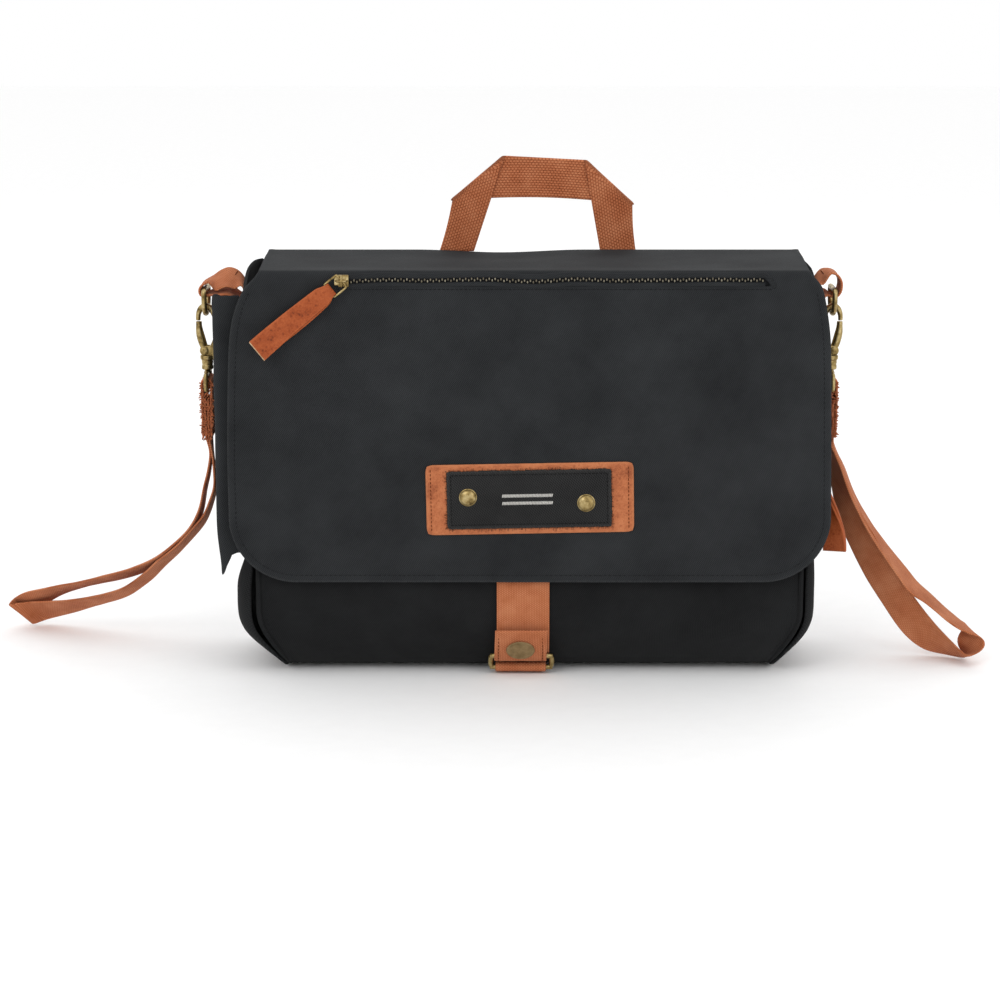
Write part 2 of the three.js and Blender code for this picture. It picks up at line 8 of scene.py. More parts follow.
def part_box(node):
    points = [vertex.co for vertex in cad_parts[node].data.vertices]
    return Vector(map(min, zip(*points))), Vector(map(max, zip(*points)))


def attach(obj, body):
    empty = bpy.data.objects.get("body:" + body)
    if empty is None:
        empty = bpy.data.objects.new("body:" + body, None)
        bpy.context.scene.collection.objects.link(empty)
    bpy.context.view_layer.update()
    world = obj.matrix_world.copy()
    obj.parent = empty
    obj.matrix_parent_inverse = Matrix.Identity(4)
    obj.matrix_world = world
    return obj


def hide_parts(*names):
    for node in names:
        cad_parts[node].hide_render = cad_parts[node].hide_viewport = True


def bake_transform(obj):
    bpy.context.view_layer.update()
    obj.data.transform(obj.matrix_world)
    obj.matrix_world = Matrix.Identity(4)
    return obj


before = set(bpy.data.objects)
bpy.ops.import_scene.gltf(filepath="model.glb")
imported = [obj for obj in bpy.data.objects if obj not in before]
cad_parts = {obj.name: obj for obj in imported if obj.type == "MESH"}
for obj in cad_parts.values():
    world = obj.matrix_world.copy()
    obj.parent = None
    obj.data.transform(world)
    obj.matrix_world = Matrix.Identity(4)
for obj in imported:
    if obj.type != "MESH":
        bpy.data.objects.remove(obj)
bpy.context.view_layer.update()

# Canvas messenger bag. Lengths in this script are millimetres until a mesh is made.
# +X right, +Y back, +Z up; the front of the bag faces -Y.
MM = 0.001


def corners(node):
    """Lowest and highest corner of a CAD node, in millimetres."""
    low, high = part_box(node)
    return low / MM, high / MM


# ---------------------------------------------------------------- camera, light and floor
LENS = 104.35                                  # millimetres, on the default 36 mm sensor
CAMERA_PLACE = (-0.0207, -2.0198, 0.5442)      # metres
CAMERA_TILT = 78.0                             # degrees; 90 would look level
LIGHTS = [                                     # name, place, aim, size in metres, watts
    ("key", (-1.2, -2.2, 1.9), (0, 0, 0.15), (1.6, 1.2), 15),
    ("fill", (1.7, -1.7, 1.1), (0, 0, 0.15), (1.3, 1.3), 6),
    ("top", (0.1, 0.2, 2.3), (0, 0, 0.2), (2.0, 1.6), 3),
    ("back", (0.3, 2.3, 1.4), (0, 0, 0.2), (1.8, 1.2), 6),
]


def make_camera():
    data = bpy.data.cameras.new("camera")
    data.lens = LENS
    camera = bpy.data.objects.new("camera", data)
    camera.location = CAMERA_PLACE
    camera.rotation_euler = (math.radians(CAMERA_TILT), 0.0, 0.0)
    bpy.context.scene.collection.objects.link(camera)
    bpy.context.scene.camera = camera


def area_light(name, place, aim, size, power):
    data = bpy.data.lights.new(name, "AREA")
    data.shape = "RECTANGLE"
    data.size, data.size_y = size
    data.energy = power
    lamp = bpy.data.objects.new(name, data)
    lamp.location = place
    lamp.rotation_euler = (Vector(aim) - Vector(place)).to_track_quat("-Z", "Y").to_euler()
    bpy.context.scene.collection.objects.link(lamp)


make_camera()
for light in LIGHTS:
    area_light(*light)
world = bpy.data.worlds.new("studio")
world.use_nodes = True
sky = world.node_tree.nodes["Background"].inputs
sky["Color"].default_value = (1.0, 1.0, 1.0, 1)
sky["Strength"].default_value = 1.0
bpy.context.scene.world = world
bpy.context.scene.view_settings.view_transform = "Standard"


# ---------------------------------------------------------------- node materials
class Graph:
    """Short way to write a material: sockets and numbers mix freely as inputs."""

    def __init__(self, name):
        self.material = bpy.data.materials.new(name)
        self.material.use_nodes = True
        self.nodes = self.material.node_tree.nodes
        self.links = self.material.node_tree.links
        self.shader = self.nodes["Principled BSDF"]

    def feed(self, socket, value):
        if isinstance(value, bpy.types.NodeSocket):
            self.links.new(value, socket)
        else:
            socket.default_value = value

    def node(self, kind, inputs, out=0, **settings):
        made = self.nodes.new("ShaderNode" + kind)
        for key, value in settings.items():
            setattr(made, key, value)
        for key, value in inputs.items():
            self.feed(made.inputs[key], value)
        return made.outputs[out]

    def math(self, operation, a, b=0.0, clamp=False):
        return self.node("Math", {0: a, 1: b}, operation=operation, use_clamp=clamp)

    def mix(self, a, share_a, b, share_b):
        """Weighted sum of two values."""
        return self.math("ADD", self.math("MULTIPLY", a, share_a), self.math("MULTIPLY", b, share_b))

    def cloth(self):
        """Flat position on the cloth, in millimetres: as a vector, across and along."""
        place = self.node("Attribute", {}, out=1, attribute_name="cloth")
        split = self.nodes.new("ShaderNodeSeparateXYZ")
        self.links.new(place, split.inputs[0])
        return place, split.outputs[0], split.outputs[1]

    def worn(self):
        return self.node("Attribute", {}, out=2, attribute_name="worn")

    def solid(self):
        return self.node("TexCoord", {}, out=3)

    def noise(self, place, scale, detail=3.0, rough=0.55):
        return self.node("TexNoise", {"Vector": place, "Scale": scale, "Detail": detail, "Roughness": rough})

    def wave(self, value, pitch):
        """Sine of a length in millimetres, from 0 to 1."""
        sine = self.math("SINE", self.math("MULTIPLY", value, 2 * math.pi / pitch))
        return self.math("ADD", self.math("MULTIPLY", sine, 0.5), 0.5)

    def ramp(self, value, *stops):
        made = self.nodes.new("ShaderNodeValToRGB")
        self.feed(made.inputs[0], value)
        points = made.color_ramp.elements
        while len(points) < len(stops):
            points.new(0.5)
        for point, (place, colour) in zip(points, stops):
            point.position = place
            point.color = (*colour, 1.0)
        return made.outputs[0]

    def blend(self, factor, a, b):
        return self.node("MixRGB", {0: factor, 1: a, 2: b})

    def range(self, value, low, high, to_low, to_high):
        return self.node("MapRange", {0: value, 1: low, 2: high, 3: to_low, 4: to_high})

    def finish(self, colour, rough, height, depth, **constants):
        self.feed(self.shader.inputs["Base Color"], colour)
        self.feed(self.shader.inputs["Roughness"], rough)
        bump = self.node("Bump", {"Strength": 1.0, "Distance": depth, "Height": height})
        self.links.new(bump, self.shader.inputs["Normal"])
        for key, value in constants.items():
            self.shader.inputs[key.replace("_", " ")].default_value = value
        return self.material


LIGHT_GAIN = 1.25      # how much brighter than its own colour a surface looks in this studio


def shade(red, green, blue):
    """Linear surface colour that looks like an 8-bit screen colour in this studio."""
    def linear(c):
        c = c / 255.0
        return c / 12.92 if c <= 0.04045 else ((c + 0.055) / 1.055) ** 2.4
    return tuple(linear(c) / LIGHT_GAIN for c in (red, green, blue))


def woven(name, dark, light, pitch, depth, fuzz=0.35, rough=0.92, sheen=0.02, worn_colour=None):
    """Twill cloth: slanted threads, uneven yarn and cloudy dye."""
    g = Graph(name)
    place, across, along = g.cloth()
    twill = g.wave(g.math("ADD", across, along), pitch)
    yarn = g.wave(g.math("SUBTRACT", across, g.math("MULTIPLY", along, 0.32)), pitch * 0.83)
    slub = g.noise(place, 1.1 / pitch, 4.0, 0.7)
    cloud = g.noise(place, 0.018, 4.0, 0.6)
    weave = g.mix(twill, 0.5, yarn, 0.3)
    weave = g.math("ADD", weave, g.math("MULTIPLY", slub, fuzz))
    colour = g.ramp(g.mix(weave, 0.6, cloud, 0.55), (0.32, dark), (0.9, light))
    if worn_colour:
        rub = g.math("MULTIPLY", g.worn(), g.range(slub, 0.35, 0.75, 0.1, 1.0), clamp=True)
        colour = g.blend(rub, colour, (*worn_colour, 1.0))
    return g.finish(colour, g.range(slub, 0.2, 0.8, rough - 0.08, rough + 0.06), weave, depth * MM,
                    Sheen_Weight=sheen, Sheen_Roughness=0.6, Specular_IOR_Level=0.1)


def webbing(name, dark, light, pale, rib, depth, fuzzy=False):
    """Cotton webbing: ribs along the strap, crossed by bricks of weft, rubbed paler on top."""
    g = Graph(name)
    place, across, along = g.cloth()
    column = g.math("FLOOR", g.math("DIVIDE", across, rib))
    arch = g.math("ABSOLUTE", g.math("SINE", g.math("MULTIPLY", across, math.pi / rib)))
    step = g.math("ADD", g.math("DIVIDE", along, rib * 1.35), g.math("MULTIPLY", column, 0.5))
    brick = g.math("ABSOLUTE", g.math("SINE", g.math("MULTIPLY", step, math.pi)))
    fibre = g.noise(place, 1.9, 4.0, 0.75)
    cloud = g.noise(place, 0.05, 3.0, 0.6)
    weave = g.math("MULTIPLY", g.math("POWER", arch, 0.4), g.math("POWER", brick, 0.4))
    if fuzzy:
        weave = g.math("ADD", g.math("MULTIPLY", weave, 0.3), g.noise(place, 0.9, 6.0, 0.85))
    height = g.math("ADD", weave, g.math("MULTIPLY", fibre, 0.45))
    colour = g.ramp(g.mix(height, 0.45, cloud, 0.5), (0.25, dark), (0.6, light), (0.95, pale))
    return g.finish(colour, g.range(fibre, 0.2, 0.8, 0.78, 0.95), height, depth * MM,
                    Sheen_Weight=0.05, Sheen_Roughness=0.5, Specular_IOR_Level=0.1)


def leather(name, dark, mid, light, scale, gloss, streaks=0.0):
    """Leather: pebbled grain, creases, darker dimples and rubbed highlights."""
    g = Graph(name)
    place = g.solid()
    grain = g.node("TexVoronoi", {"Vector": place, "Scale": 1000 / scale, "Randomness": 1.0})
    soft = g.noise(place, 1000 / (scale * 2.2), 5.0, 0.65)
    blot = g.noise(place, 90.0, 4.0, 0.6)
    crease = g.math("ABSOLUTE", g.math("SUBTRACT", g.noise(place, 160.0, 4.0, 0.6), 0.5))
    crease = g.range(crease, 0.0, 0.035, 0.0, 1.0)
    height = g.mix(grain, -0.5, soft, 0.5)
    height = g.math("ADD", height, g.math("MULTIPLY", crease, 0.22))
    if streaks:
        _, across, _ = g.cloth()
        lines = g.noise(g.node("CombineXYZ", {0: g.math("MULTIPLY", across, 1.3)}), 1.0, 2.0, 0.6)
        height = g.math("ADD", height, g.math("MULTIPLY", lines, streaks))
    pits = g.node("TexVoronoi", {"Vector": place, "Scale": 260.0, "Randomness": 1.0})
    pits = g.range(pits, 0.12, 0.32, 0.0, 1.0)
    tone = g.math("MULTIPLY", g.mix(blot, 0.7, height, 0.3), g.range(pits, 0.0, 1.0, 0.72, 1.0))
    colour = g.ramp(tone, (0.18, dark), (0.42, mid), (0.72, light))
    colour = g.blend(g.math("MULTIPLY", g.worn(), 0.55), colour, (*light, 1.0))
    return g.finish(colour, g.range(soft, 0.25, 0.75, gloss, gloss + 0.22), height, 0.35 * MM,
                    Specular_IOR_Level=0.2)


def metal(name, patina, body, bright, gloss):
    """Antique brass: dark patina in the hollows, rubbed bright on top, fine scratches."""
    g = Graph(name)
    place = g.solid()
    blot = g.noise(place, 210.0, 4.0, 0.6)
    fine = g.noise(place, 2600.0, 3.0, 0.6)
    tone = g.mix(blot, 0.8, fine, 0.2)
    colour = g.ramp(tone, (0.3, patina), (0.48, body), (0.72, bright))
    rough = g.math("ADD", g.range(blot, 0.35, 0.7, gloss + 0.2, gloss), g.math("MULTIPLY", fine, 0.08))
    return g.finish(colour, rough, tone, 0.05 * MM, Metallic=1.0)


def raw_edge(name):
    """Undyed cut end of the leather: cream fibres in layers."""
    g = Graph(name)
    place = g.solid()
    fibre = g.noise(place, 1400.0, 5.0, 0.8)
    band = g.noise(place, 300.0, 3.0, 0.6)
    colour = g.ramp(g.mix(fibre, 0.5, band, 0.5), (0.35, shade(150, 104, 70)), (0.55, shade(222, 190, 150)),
                    (0.75, shade(240, 220, 190)))
    return g.finish(colour, 0.95, fibre, 0.3 * MM, Specular_IOR_Level=0.2)


def thread(name, dark, light):
    """Twisted sewing thread."""
    g = Graph(name)
    _, across, along = g.cloth()
    twist = g.wave(g.math("ADD", across, along), 0.55)
    soft = g.noise(g.solid(), 900.0, 3.0, 0.6)
    colour = g.ramp(g.mix(twist, 0.5, soft, 0.5), (0.25, dark), (0.75, light))
    return g.finish(colour, g.range(soft, 0.3, 0.7, 0.75, 0.95), twist, 0.12 * MM, Specular_IOR_Level=0.1)


def floor_finish():
    g = Graph("floor")
    speck = g.noise(g.solid(), 60.0, 4.0, 0.6)
    colour = g.ramp(speck, (0.3, (0.97, 0.97, 0.97)), (0.7, (0.99, 0.99, 0.99)))
    return g.finish(colour, 0.8, speck, 0.02 * MM)


CANVAS = woven("canvas", shade(17, 18, 20), shade(58, 60, 62), 1.5, 0.16, worn_colour=shade(70, 71, 72))
# Darker copy of the same canvas for the body's walls, side panels and piping: painted shade for the shadow under the
# flap's overhang.
SHADED_BODY_CANVAS = woven("shaded_body_canvas", shade(10, 10, 11), shade(41, 42, 43), 1.5, 0.16,
                    worn_colour=shade(54, 55, 56))
LINING = woven("lining", shade(48, 50, 53), shade(92, 95, 98), 1.0, 0.08, fuzz=0.2, rough=0.7, sheen=0.03)
LABEL = woven("label_canvas", shade(16, 16, 17), shade(58, 58, 58), 1.9, 0.3, worn_colour=shade(78, 76, 74))
TAPE = woven("zip_tape", shade(12, 13, 14), shade(40, 41, 43), 0.8, 0.1, fuzz=0.2)
WEBBING = webbing("webbing", shade(118, 60, 34), shade(192, 110, 69), shade(226, 156, 116), 1.15, 0.26)
HANDLE_WEBBING = webbing("handle_webbing", shade(112, 56, 32), shade(192, 108, 68), shade(228, 154, 112),
                         1.8, 0.5)
FUZZ = webbing("webbing_pile", shade(140, 70, 40), shade(206, 118, 76), shade(232, 160, 118), 1.8, 0.5,
               fuzzy=True)
PATCH_LEATHER = leather("patch_leather", shade(142, 72, 42), shade(192, 112, 70), shade(218, 140, 94), 0.9, 0.5)
PULL_LEATHER = leather("pull_leather", shade(82, 26, 7), shade(160, 74, 32), shade(192, 100, 54), 1.1, 0.4,
                       streaks=0.7)
RAW = raw_edge("leather_raw_edge")
BRASS = metal("antique_brass", shade(76, 62, 38), shade(170, 146, 94), shade(230, 210, 158), 0.26)
MATTE_BRASS = metal("matte_brass", shade(146, 124, 88), shade(160, 137, 99), shade(178, 154, 114), 0.5)
TEETH = metal("zip_teeth", shade(70, 64, 54), shade(140, 132, 114), shade(196, 188, 168), 0.34)
DARK_THREAD = thread("thread_dark", shade(18, 19, 20), shade(50, 51, 53))
BLACK_THREAD = thread("thread_black", shade(10, 10, 10), shade(36, 36, 36))
RUST_THREAD = thread("thread_rust", shade(84, 34, 14), shade(132, 66, 34))
PALE_THREAD = thread("thread_pale", shade(196, 192, 184), shade(250, 248, 244))


# ---------------------------------------------------------------- small geometry helpers
def smooth(low, high, value):
    t = min(max((value - low) / (high - low), 0.0), 1.0)
    return t * t * (3 - 2 * t)


def lerp(a, b, t):
    return a + (b - a) * t


def steps(low, high, pitch):
    """Even steps from low to high, both included, about a pitch apart."""
    count = max(1, round(abs(high - low) / pitch))
    return [low + (high - low) * k / count for k in range(count + 1)]


def shares(count):
    """Even steps from 0 to 1."""
    return [k / count for k in range(count + 1)]


def curve_through(points, x):
    """Smooth y at x through rising (x, y) points."""
    x = min(max(x, points[0][0]), points[-1][0])
    k = 0
    while k < len(points) - 2 and x > points[k + 1][0]:
        k += 1
    (x0, y0), (x1, y1) = points[k], points[k + 1]

    def slope(i):
        a, b = points[max(i - 1, 0)], points[min(i + 1, len(points) - 1)]
        return (b[1] - a[1]) / (b[0] - a[0])
    t, span = (x - x0) / (x1 - x0), x1 - x0
    return ((1 + 2 * t) * (1 - t) ** 2 * y0 + t * (1 - t) ** 2 * span * slope(k)
            + t * t * (3 - 2 * t) * y1 + t * t * (t - 1) * span * slope(k + 1))


def path_through(rows, pitch, closed=False):
    """Rows of numbers, the first three a place, resampled smoothly about a pitch apart."""
    n = len(rows)
    made = []
    for k in range(n if closed else n - 1):
        quad = [rows[(k + d) % n] if closed else rows[min(max(k + d, 0), n - 1)] for d in (-1, 0, 1, 2)]
        length = (Vector(quad[2][:3]) - Vector(quad[1][:3])).length
        count = max(1, round(length / pitch))
        for step in range(count):
            t = step / count
            weights = (-t ** 3 + 2 * t * t - t, 3 * t ** 3 - 5 * t * t + 2,
                       -3 * t ** 3 + 4 * t * t + t, t ** 3 - t * t)
            made.append([0.5 * sum(w * q[c] for w, q in zip(weights, quad)) for c in range(len(rows[0]))])
    if not closed:
        made.append(list(rows[-1]))
    return made


def waver(place, size, seed=0.0):
    """Smooth seeded unevenness from -1 to 1 at a place, over lengths of about a size."""
    return noise.noise(Vector(place) / size + Vector((seed * 17.3, seed * 5.1, seed * 9.7)))


# ---------------------------------------------------------------- mesh data: (verts, faces, cloth, slots, worn)
class Data:
    def __init__(self):
        self.verts, self.faces, self.cloth, self.slots, self.worn = [], [], [], [], []

    def vertex(self, place, cloth=(0.0, 0.0), worn=0.0):
        self.verts.append(tuple(place))
        self.cloth.append(cloth)
        self.worn.append(worn)
        return len(self.verts) - 1

    def face(self, corners_, slot=0):
        self.faces.append(tuple(corners_))
        self.slots.append(slot)

    def add(self, other):
        base = len(self.verts)
        self.verts += other.verts
        self.cloth += other.cloth
        self.worn += other.worn
        self.faces += [tuple(base + i for i in f) for f in other.faces]
        self.slots += other.slots
        return self

    def moved(self, matrix):
        self.verts = [tuple(matrix @ Vector(v)) for v in self.verts]
        return self

    def piece(self, name, *materials, subdivide=0):
        mesh = bpy.data.meshes.new(name)
        mesh.from_pydata([tuple(c * MM for c in v) for v in self.verts], [], self.faces)
        for material in materials:
            mesh.materials.append(material)
        mesh.polygons.foreach_set("material_index", self.slots)
        mesh.polygons.foreach_set("use_smooth", [True] * len(self.faces))
        cloth = mesh.uv_layers.new(name="cloth")
        flat = []
        for loop in mesh.loops:
            flat += self.cloth[loop.vertex_index]
        cloth.data.foreach_set("uv", flat)
        mesh.attributes.new("worn", "FLOAT", "POINT").data.foreach_set("value", self.worn)
        obj = bpy.data.objects.new(name, mesh)
        bpy.context.scene.collection.objects.link(obj)
        if subdivide:
            surface = obj.modifiers.new("smooth", "SUBSURF")
            surface.levels = surface.render_levels = subdivide
        return obj


def settle(obj, body, slot, *nodes):
    """The piece stands for CAD nodes, which it hides, and rides on a body; its slot is not used."""
    if nodes:
        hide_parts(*nodes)
    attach(obj, body)
    return obj


def cloth_shell(rows, cloth, thick, hidden=None, loop=False, worn=None, flip=False):
    """Closed cloth of even thickness under a grid of outer points; hidden(i, j) leaves a cell open."""
    count, width = len(rows), len(rows[0])
    outer = [[Vector(p) for p in row] for row in rows]

    def normal(i, j):
        a, b = outer[max(i - 1, 0)][j], outer[min(i + 1, count - 1)][j]
        if loop:
            c, d = outer[i][(j - 1) % width], outer[i][(j + 1) % width]
        else:
            c, d = outer[i][max(j - 1, 0)], outer[i][min(j + 1, width - 1)]
        n = (d - c).cross(b - a)
        return n.normalized() * (-1 if flip else 1)
    data = Data()
    for layer in (0, 1):
        for i in range(count):
            for j in range(width):
                p = outer[i][j] - normal(i, j) * thick * layer
                data.vertex(p, cloth[i][j], worn(i, j) if worn else 0.0)
    inner = count * width
    cells = []
    for i in range(count - 1):
        for j in range(width if loop else width - 1):
            if hidden and hidden(i, j):
                continue
            k = (j + 1) % width
            a, b, c, d = i * width + j, i * width + k, (i + 1) * width + k, (i + 1) * width + j
            cells.append((d, c, b, a) if flip else (a, b, c, d))
    edges = {(c[k], c[(k + 1) % 4]) for c in cells for k in range(4)}
    for cell in cells:
        data.face(cell)
        data.face([inner + i for i in reversed(cell)])
    for a, b in sorted(edges):
        if (b, a) not in edges:
            data.face((b, a, inner + a, inner + b))
    return data


SECTION_TOP = [(-0.492, 0.3), (-0.47, 0.5), (-0.42, 0.54), (-0.36, 0.46), (-0.24, 0.45), (-0.12, 0.46),
               (0.0, 0.45), (0.12, 0.46), (0.24, 0.45), (0.36, 0.46), (0.42, 0.54), (0.47, 0.5), (0.492, 0.3)]


def ribbon(pairs, thick, uneven=0.0, seed=0.0, closed=False, cap=0, start=0.0):
    """Flat strap through pairs of edge points; cap is the slot of its cut ends."""
    n = len(pairs)
    middles = [(Vector(a) + Vector(b)) / 2 for a, b in pairs]
    section = ([(-0.5, 0.0)] + SECTION_TOP + [(0.5, 0.0)] + [(a, -b) for a, b in reversed(SECTION_TOP)])
    data = Data()
    along = start
    for i, (left, right) in enumerate(pairs):
        before = middles[(i - 1) % n] if closed else middles[max(i - 1, 0)]
        after = middles[(i + 1) % n] if closed else middles[min(i + 1, n - 1)]
        wide = Vector(right) - Vector(left)
        tangent = (after - before).normalized()
        normal = wide.cross(tangent).normalized()
        beside = tangent.cross(normal)
        if i:
            along += (middles[i] - middles[i - 1]).length
        lift = uneven * waver(middles[i], 26.0, seed)
        for a, b in section:
            curl = uneven * 0.5 * waver(middles[i] + wide * a, 9.0, seed + 3)
            place = middles[i] + wide * a + normal * (b * thick + lift + curl)
            flat = (a * wide.dot(beside), along + a * wide.dot(tangent))
            data.vertex(place, flat, 1.0 if abs(a) > 0.46 else 0.0)
    m = len(section)
    for i in range(n if closed else n - 1):
        for j in range(m):
            k, r = (j + 1) % m, (i + 1) % n
            data.face((i * m + j, r * m + j, r * m + k, i * m + k))
    if not closed:
        for base, turn in ((0, False), ((n - 1) * m, True)):
            for j in range(1, m // 2):
                quad = [base + j, base + j + 1, base + (m - j - 1) % m, base + m - j]
                if j == m // 2 - 1:
                    quad = [base + j, base + j + 1, base + m - j]
                data.face(reversed(quad) if turn else quad, cap)
            first = [base, base + 1, base + m - 1]
            data.face(reversed(first) if turn else first, cap)
    return data


def tube(path, radius, closed=False, sides=12, squash=1.0, across=None, pitch=1.2, taper=None):
    """Round wire along a path; squash flattens it, across holds its wide direction still."""
    points = [Vector(p) for p in path_through([tuple(p) for p in path], pitch, closed)]
    n = len(points)
    data = Data()
    frame_up = Vector(across) if across else None
    along = 0.0
    for i, p in enumerate(points):
        before = points[(i - 1) % n] if closed else points[max(i - 1, 0)]
        after = points[(i + 1) % n] if closed else points[min(i + 1, n - 1)]
        tangent = (after - before).normalized()
        if frame_up is None:
            frame_up = tangent.orthogonal()
        up = (frame_up - tangent * frame_up.dot(tangent)).normalized()
        if not across:
            frame_up = up
        out = tangent.cross(up)
        size = radius * (taper(i / (n - 1)) if taper else 1.0)
        along += (p - points[i - 1]).length if i else 0.0
        for k in range(sides):
            a = 2 * math.pi * k / sides
            place = p + up * math.cos(a) * size + out * math.sin(a) * size * squash
            data.vertex(place, (size * a, along))
    for i in range(n if closed else n - 1):
        for k in range(sides):
            r, s = (i + 1) % n, (k + 1) % sides
            data.face((i * sides + k, i * sides + s, r * sides + s, r * sides + k))
    if not closed:
        data.face(reversed(range(sides)))
        data.face(range((n - 1) * sides, n * sides))
    return data


def lathe(profile, place, axis, sides=40):
    """Profile of (radius, height) turned round an axis from a place."""
    turn = Vector((0, 0, 1)).rotation_difference(Vector(axis)).to_matrix().to_4x4()
    move = Matrix.Translation(Vector(place)) @ turn
    data = Data()
    rings = []
    for radius, height in profile:
        if radius == 0:
            rings.append([data.vertex(move @ Vector((0, 0, height)), (0.0, height))])
            continue
        turns = [math.tau * k / sides for k in range(sides)]
        rings.append([data.vertex(move @ Vector((radius * math.cos(a), radius * math.sin(a), height)),
                                  (radius * a, height)) for a in turns])
    for low, high in zip(rings, rings[1:]):
        for k in range(sides):
            s = (k + 1) % sides
            corners_ = [low[k % len(low)], low[s % len(low)], high[s % len(high)], high[k % len(high)]]
            data.face(list(dict.fromkeys(corners_)))
    return data


def block(low, high):
    """Plain box, only ever an ingredient of a cast piece."""
    data = Data()
    for z in (low[2], high[2]):
        for x, y in ((low[0], low[1]), (high[0], low[1]), (high[0], high[1]), (low[0], high[1])):
            data.vertex((x, y, z))
    for f in ((3, 2, 1, 0), (4, 5, 6, 7), (0, 1, 5, 4), (1, 2, 6, 5), (2, 3, 7, 6), (3, 0, 4, 7)):
        data.face(f)
    return data


def cast(name, parts, material, voxel=0.32, rounds=4):
    """Metal casting: parts melted into one skin with soft inside corners."""
    whole = Data()
    for part in parts:
        whole.add(part)
    rough = whole.piece(name + "_rough", material)
    remesh = rough.modifiers.new("remesh", "REMESH")
    remesh.mode = "VOXEL"
    remesh.voxel_size = voxel * MM
    soften = rough.modifiers.new("soften", "SMOOTH")
    soften.iterations = rounds
    soften.factor = 0.6
    graph = bpy.context.evaluated_depsgraph_get()
    mesh = bpy.data.meshes.new_from_object(rough.evaluated_get(graph))
    bpy.data.objects.remove(rough)
    mesh.name = name
    mesh.materials.clear()
    mesh.materials.append(material)
    mesh.polygons.foreach_set("use_smooth", [True] * len(mesh.polygons))
    obj = bpy.data.objects.new(name, mesh)
    bpy.context.scene.collection.objects.link(obj)
    return obj


STITCH_SIDES = 6
WEB_STITCH = {"pitch": 2.8, "length": 2.0}     # the finer stitch that sews the webbing


def stitches(path, pitch=3.4, length=2.5, radius=0.3, lift=0.1):
    """Row of stitches along a list of (place, outward normal)."""
    data = Data()
    lengths = [0.0]
    for (a, _), (b, _) in zip(path, path[1:]):
        lengths.append(lengths[-1] + (Vector(b) - Vector(a)).length)

    def at(distance):
        k = 0
        while k < len(path) - 2 and distance > lengths[k + 1]:
            k += 1
        t = (distance - lengths[k]) / max(lengths[k + 1] - lengths[k], 1e-6)
        return (Vector(path[k][0]).lerp(Vector(path[k + 1][0]), t),
                Vector(path[k][1]).lerp(Vector(path[k + 1][1]), t).normalized())
    count = int(lengths[-1] / pitch)
    if not count:
        return data
    gap = lengths[-1] / count
    turns = [math.tau * k / STITCH_SIDES for k in range(STITCH_SIDES)]
    for s in range(count):
        rings = []
        for t in (0.0, 0.25, 0.5, 0.75, 1.0):
            place, out = at((s + 0.5) * gap + (t - 0.5) * length)
            ahead, _ = at((s + 0.5) * gap + (t - 0.5) * length + 0.1)
            beside = (ahead - place).normalized().cross(out)
            bow = math.sin(math.pi * t)
            size = radius * (0.45 + 0.55 * bow)
            centre = place + out * (lift * bow - radius * 0.55 * (1 - bow))
            rings.append([data.vertex(centre + out * math.cos(a) * size + beside * math.sin(a) * size,
                                      (k * 0.3, t * length)) for k, a in enumerate(turns)])
        for low, high in zip(rings, rings[1:]):
            for k in range(STITCH_SIDES):
                q = (k + 1) % STITCH_SIDES
                data.face((low[k], high[k], high[q], low[q]))
        data.face(rings[0])
        data.face(reversed(rings[-1]))
    return data


# ---------------------------------------------------------------- bag body
front_low, front_high = corners("front_panel")
back_high = corners("back_panel")[1]
base_low, base_high = corners("base_panel")
NOSE_Y, NOSE_R = base_low.y - 0.3, base_low.y - 0.3 - front_low.y
HEEL_Y, HEEL_R = base_high.y + 0.3, back_high.y - base_high.y - 0.3
FRONT_Y, BACK_Y = front_low.y, back_high.y
FRONT_TOP, BACK_TOP = front_high.z, back_high.z
SIDE_X = front_high.x
SEAM_IN = 9.0          # the side panels swell this far past their seams
SHEET = 2.2            # thickness of the padded canvas
FLOOR_GAP = 1.4        # the side panels' lowest row stays this far above the floor


def front_y(z):
    if z >= NOSE_R:
        return FRONT_Y
    return NOSE_Y - math.sqrt(max(NOSE_R ** 2 - (NOSE_R - z) ** 2, 0.0))


def back_y(z):
    if z >= HEEL_R:
        return BACK_Y
    return HEEL_Y + math.sqrt(max(HEEL_R ** 2 - (HEEL_R - z) ** 2, 0.0))


def seam_x(z):
    """Half width at the side seams: the lower corners pull in."""
    return SIDE_X - SEAM_IN - 21.0 * (1 - smooth(-8, 46, z)) - 1.5 * smooth(200, 270, z)


def wall_outline(pitch=4.0):
    """(y, z) round the bag from the front top edge, under the base, to the back top edge."""
    line = [(FRONT_Y, z) for z in steps(FRONT_TOP, NOSE_R, pitch)]
    line += [(NOSE_Y + NOSE_R * math.cos(a), NOSE_R + NOSE_R * math.sin(a))
             for a in steps(math.pi, 1.5 * math.pi, pitch / NOSE_R)[1:]]
    line += [(y, 0.0) for y in steps(NOSE_Y, HEEL_Y, pitch)[1:]]
    line += [(HEEL_Y + HEEL_R * math.cos(a), HEEL_R + HEEL_R * math.sin(a))
             for a in steps(-0.5 * math.pi, 0.0, pitch / HEEL_R)[1:]]
    line += [(BACK_Y, z) for z in steps(HEEL_R, BACK_TOP, pitch)[1:]]
    return line


def wall_relief(x, y, z):
    """How far the wall stands proud of its outline: soft swells, creases over the lower edges."""
    calm = smooth(0.0, 26.0, z)
    swell = 0.9 * waver((x, y, z), 70.0, 1) + 0.5 * waver((x * 0.6, y, z), 24.0, 2)
    near_corner = smooth(130, 190, abs(x)) * (1 - smooth(10, 80, z))
    folds = 0.8 * near_corner * math.sin((z * 0.9 - abs(x)) / 5.0)
    pull = -0.35 * math.exp(-((abs(x) - seam_x(z) + 5.0) / 1.6) ** 2)
    return (swell + folds - 0.9) * calm - 0.2 + pull


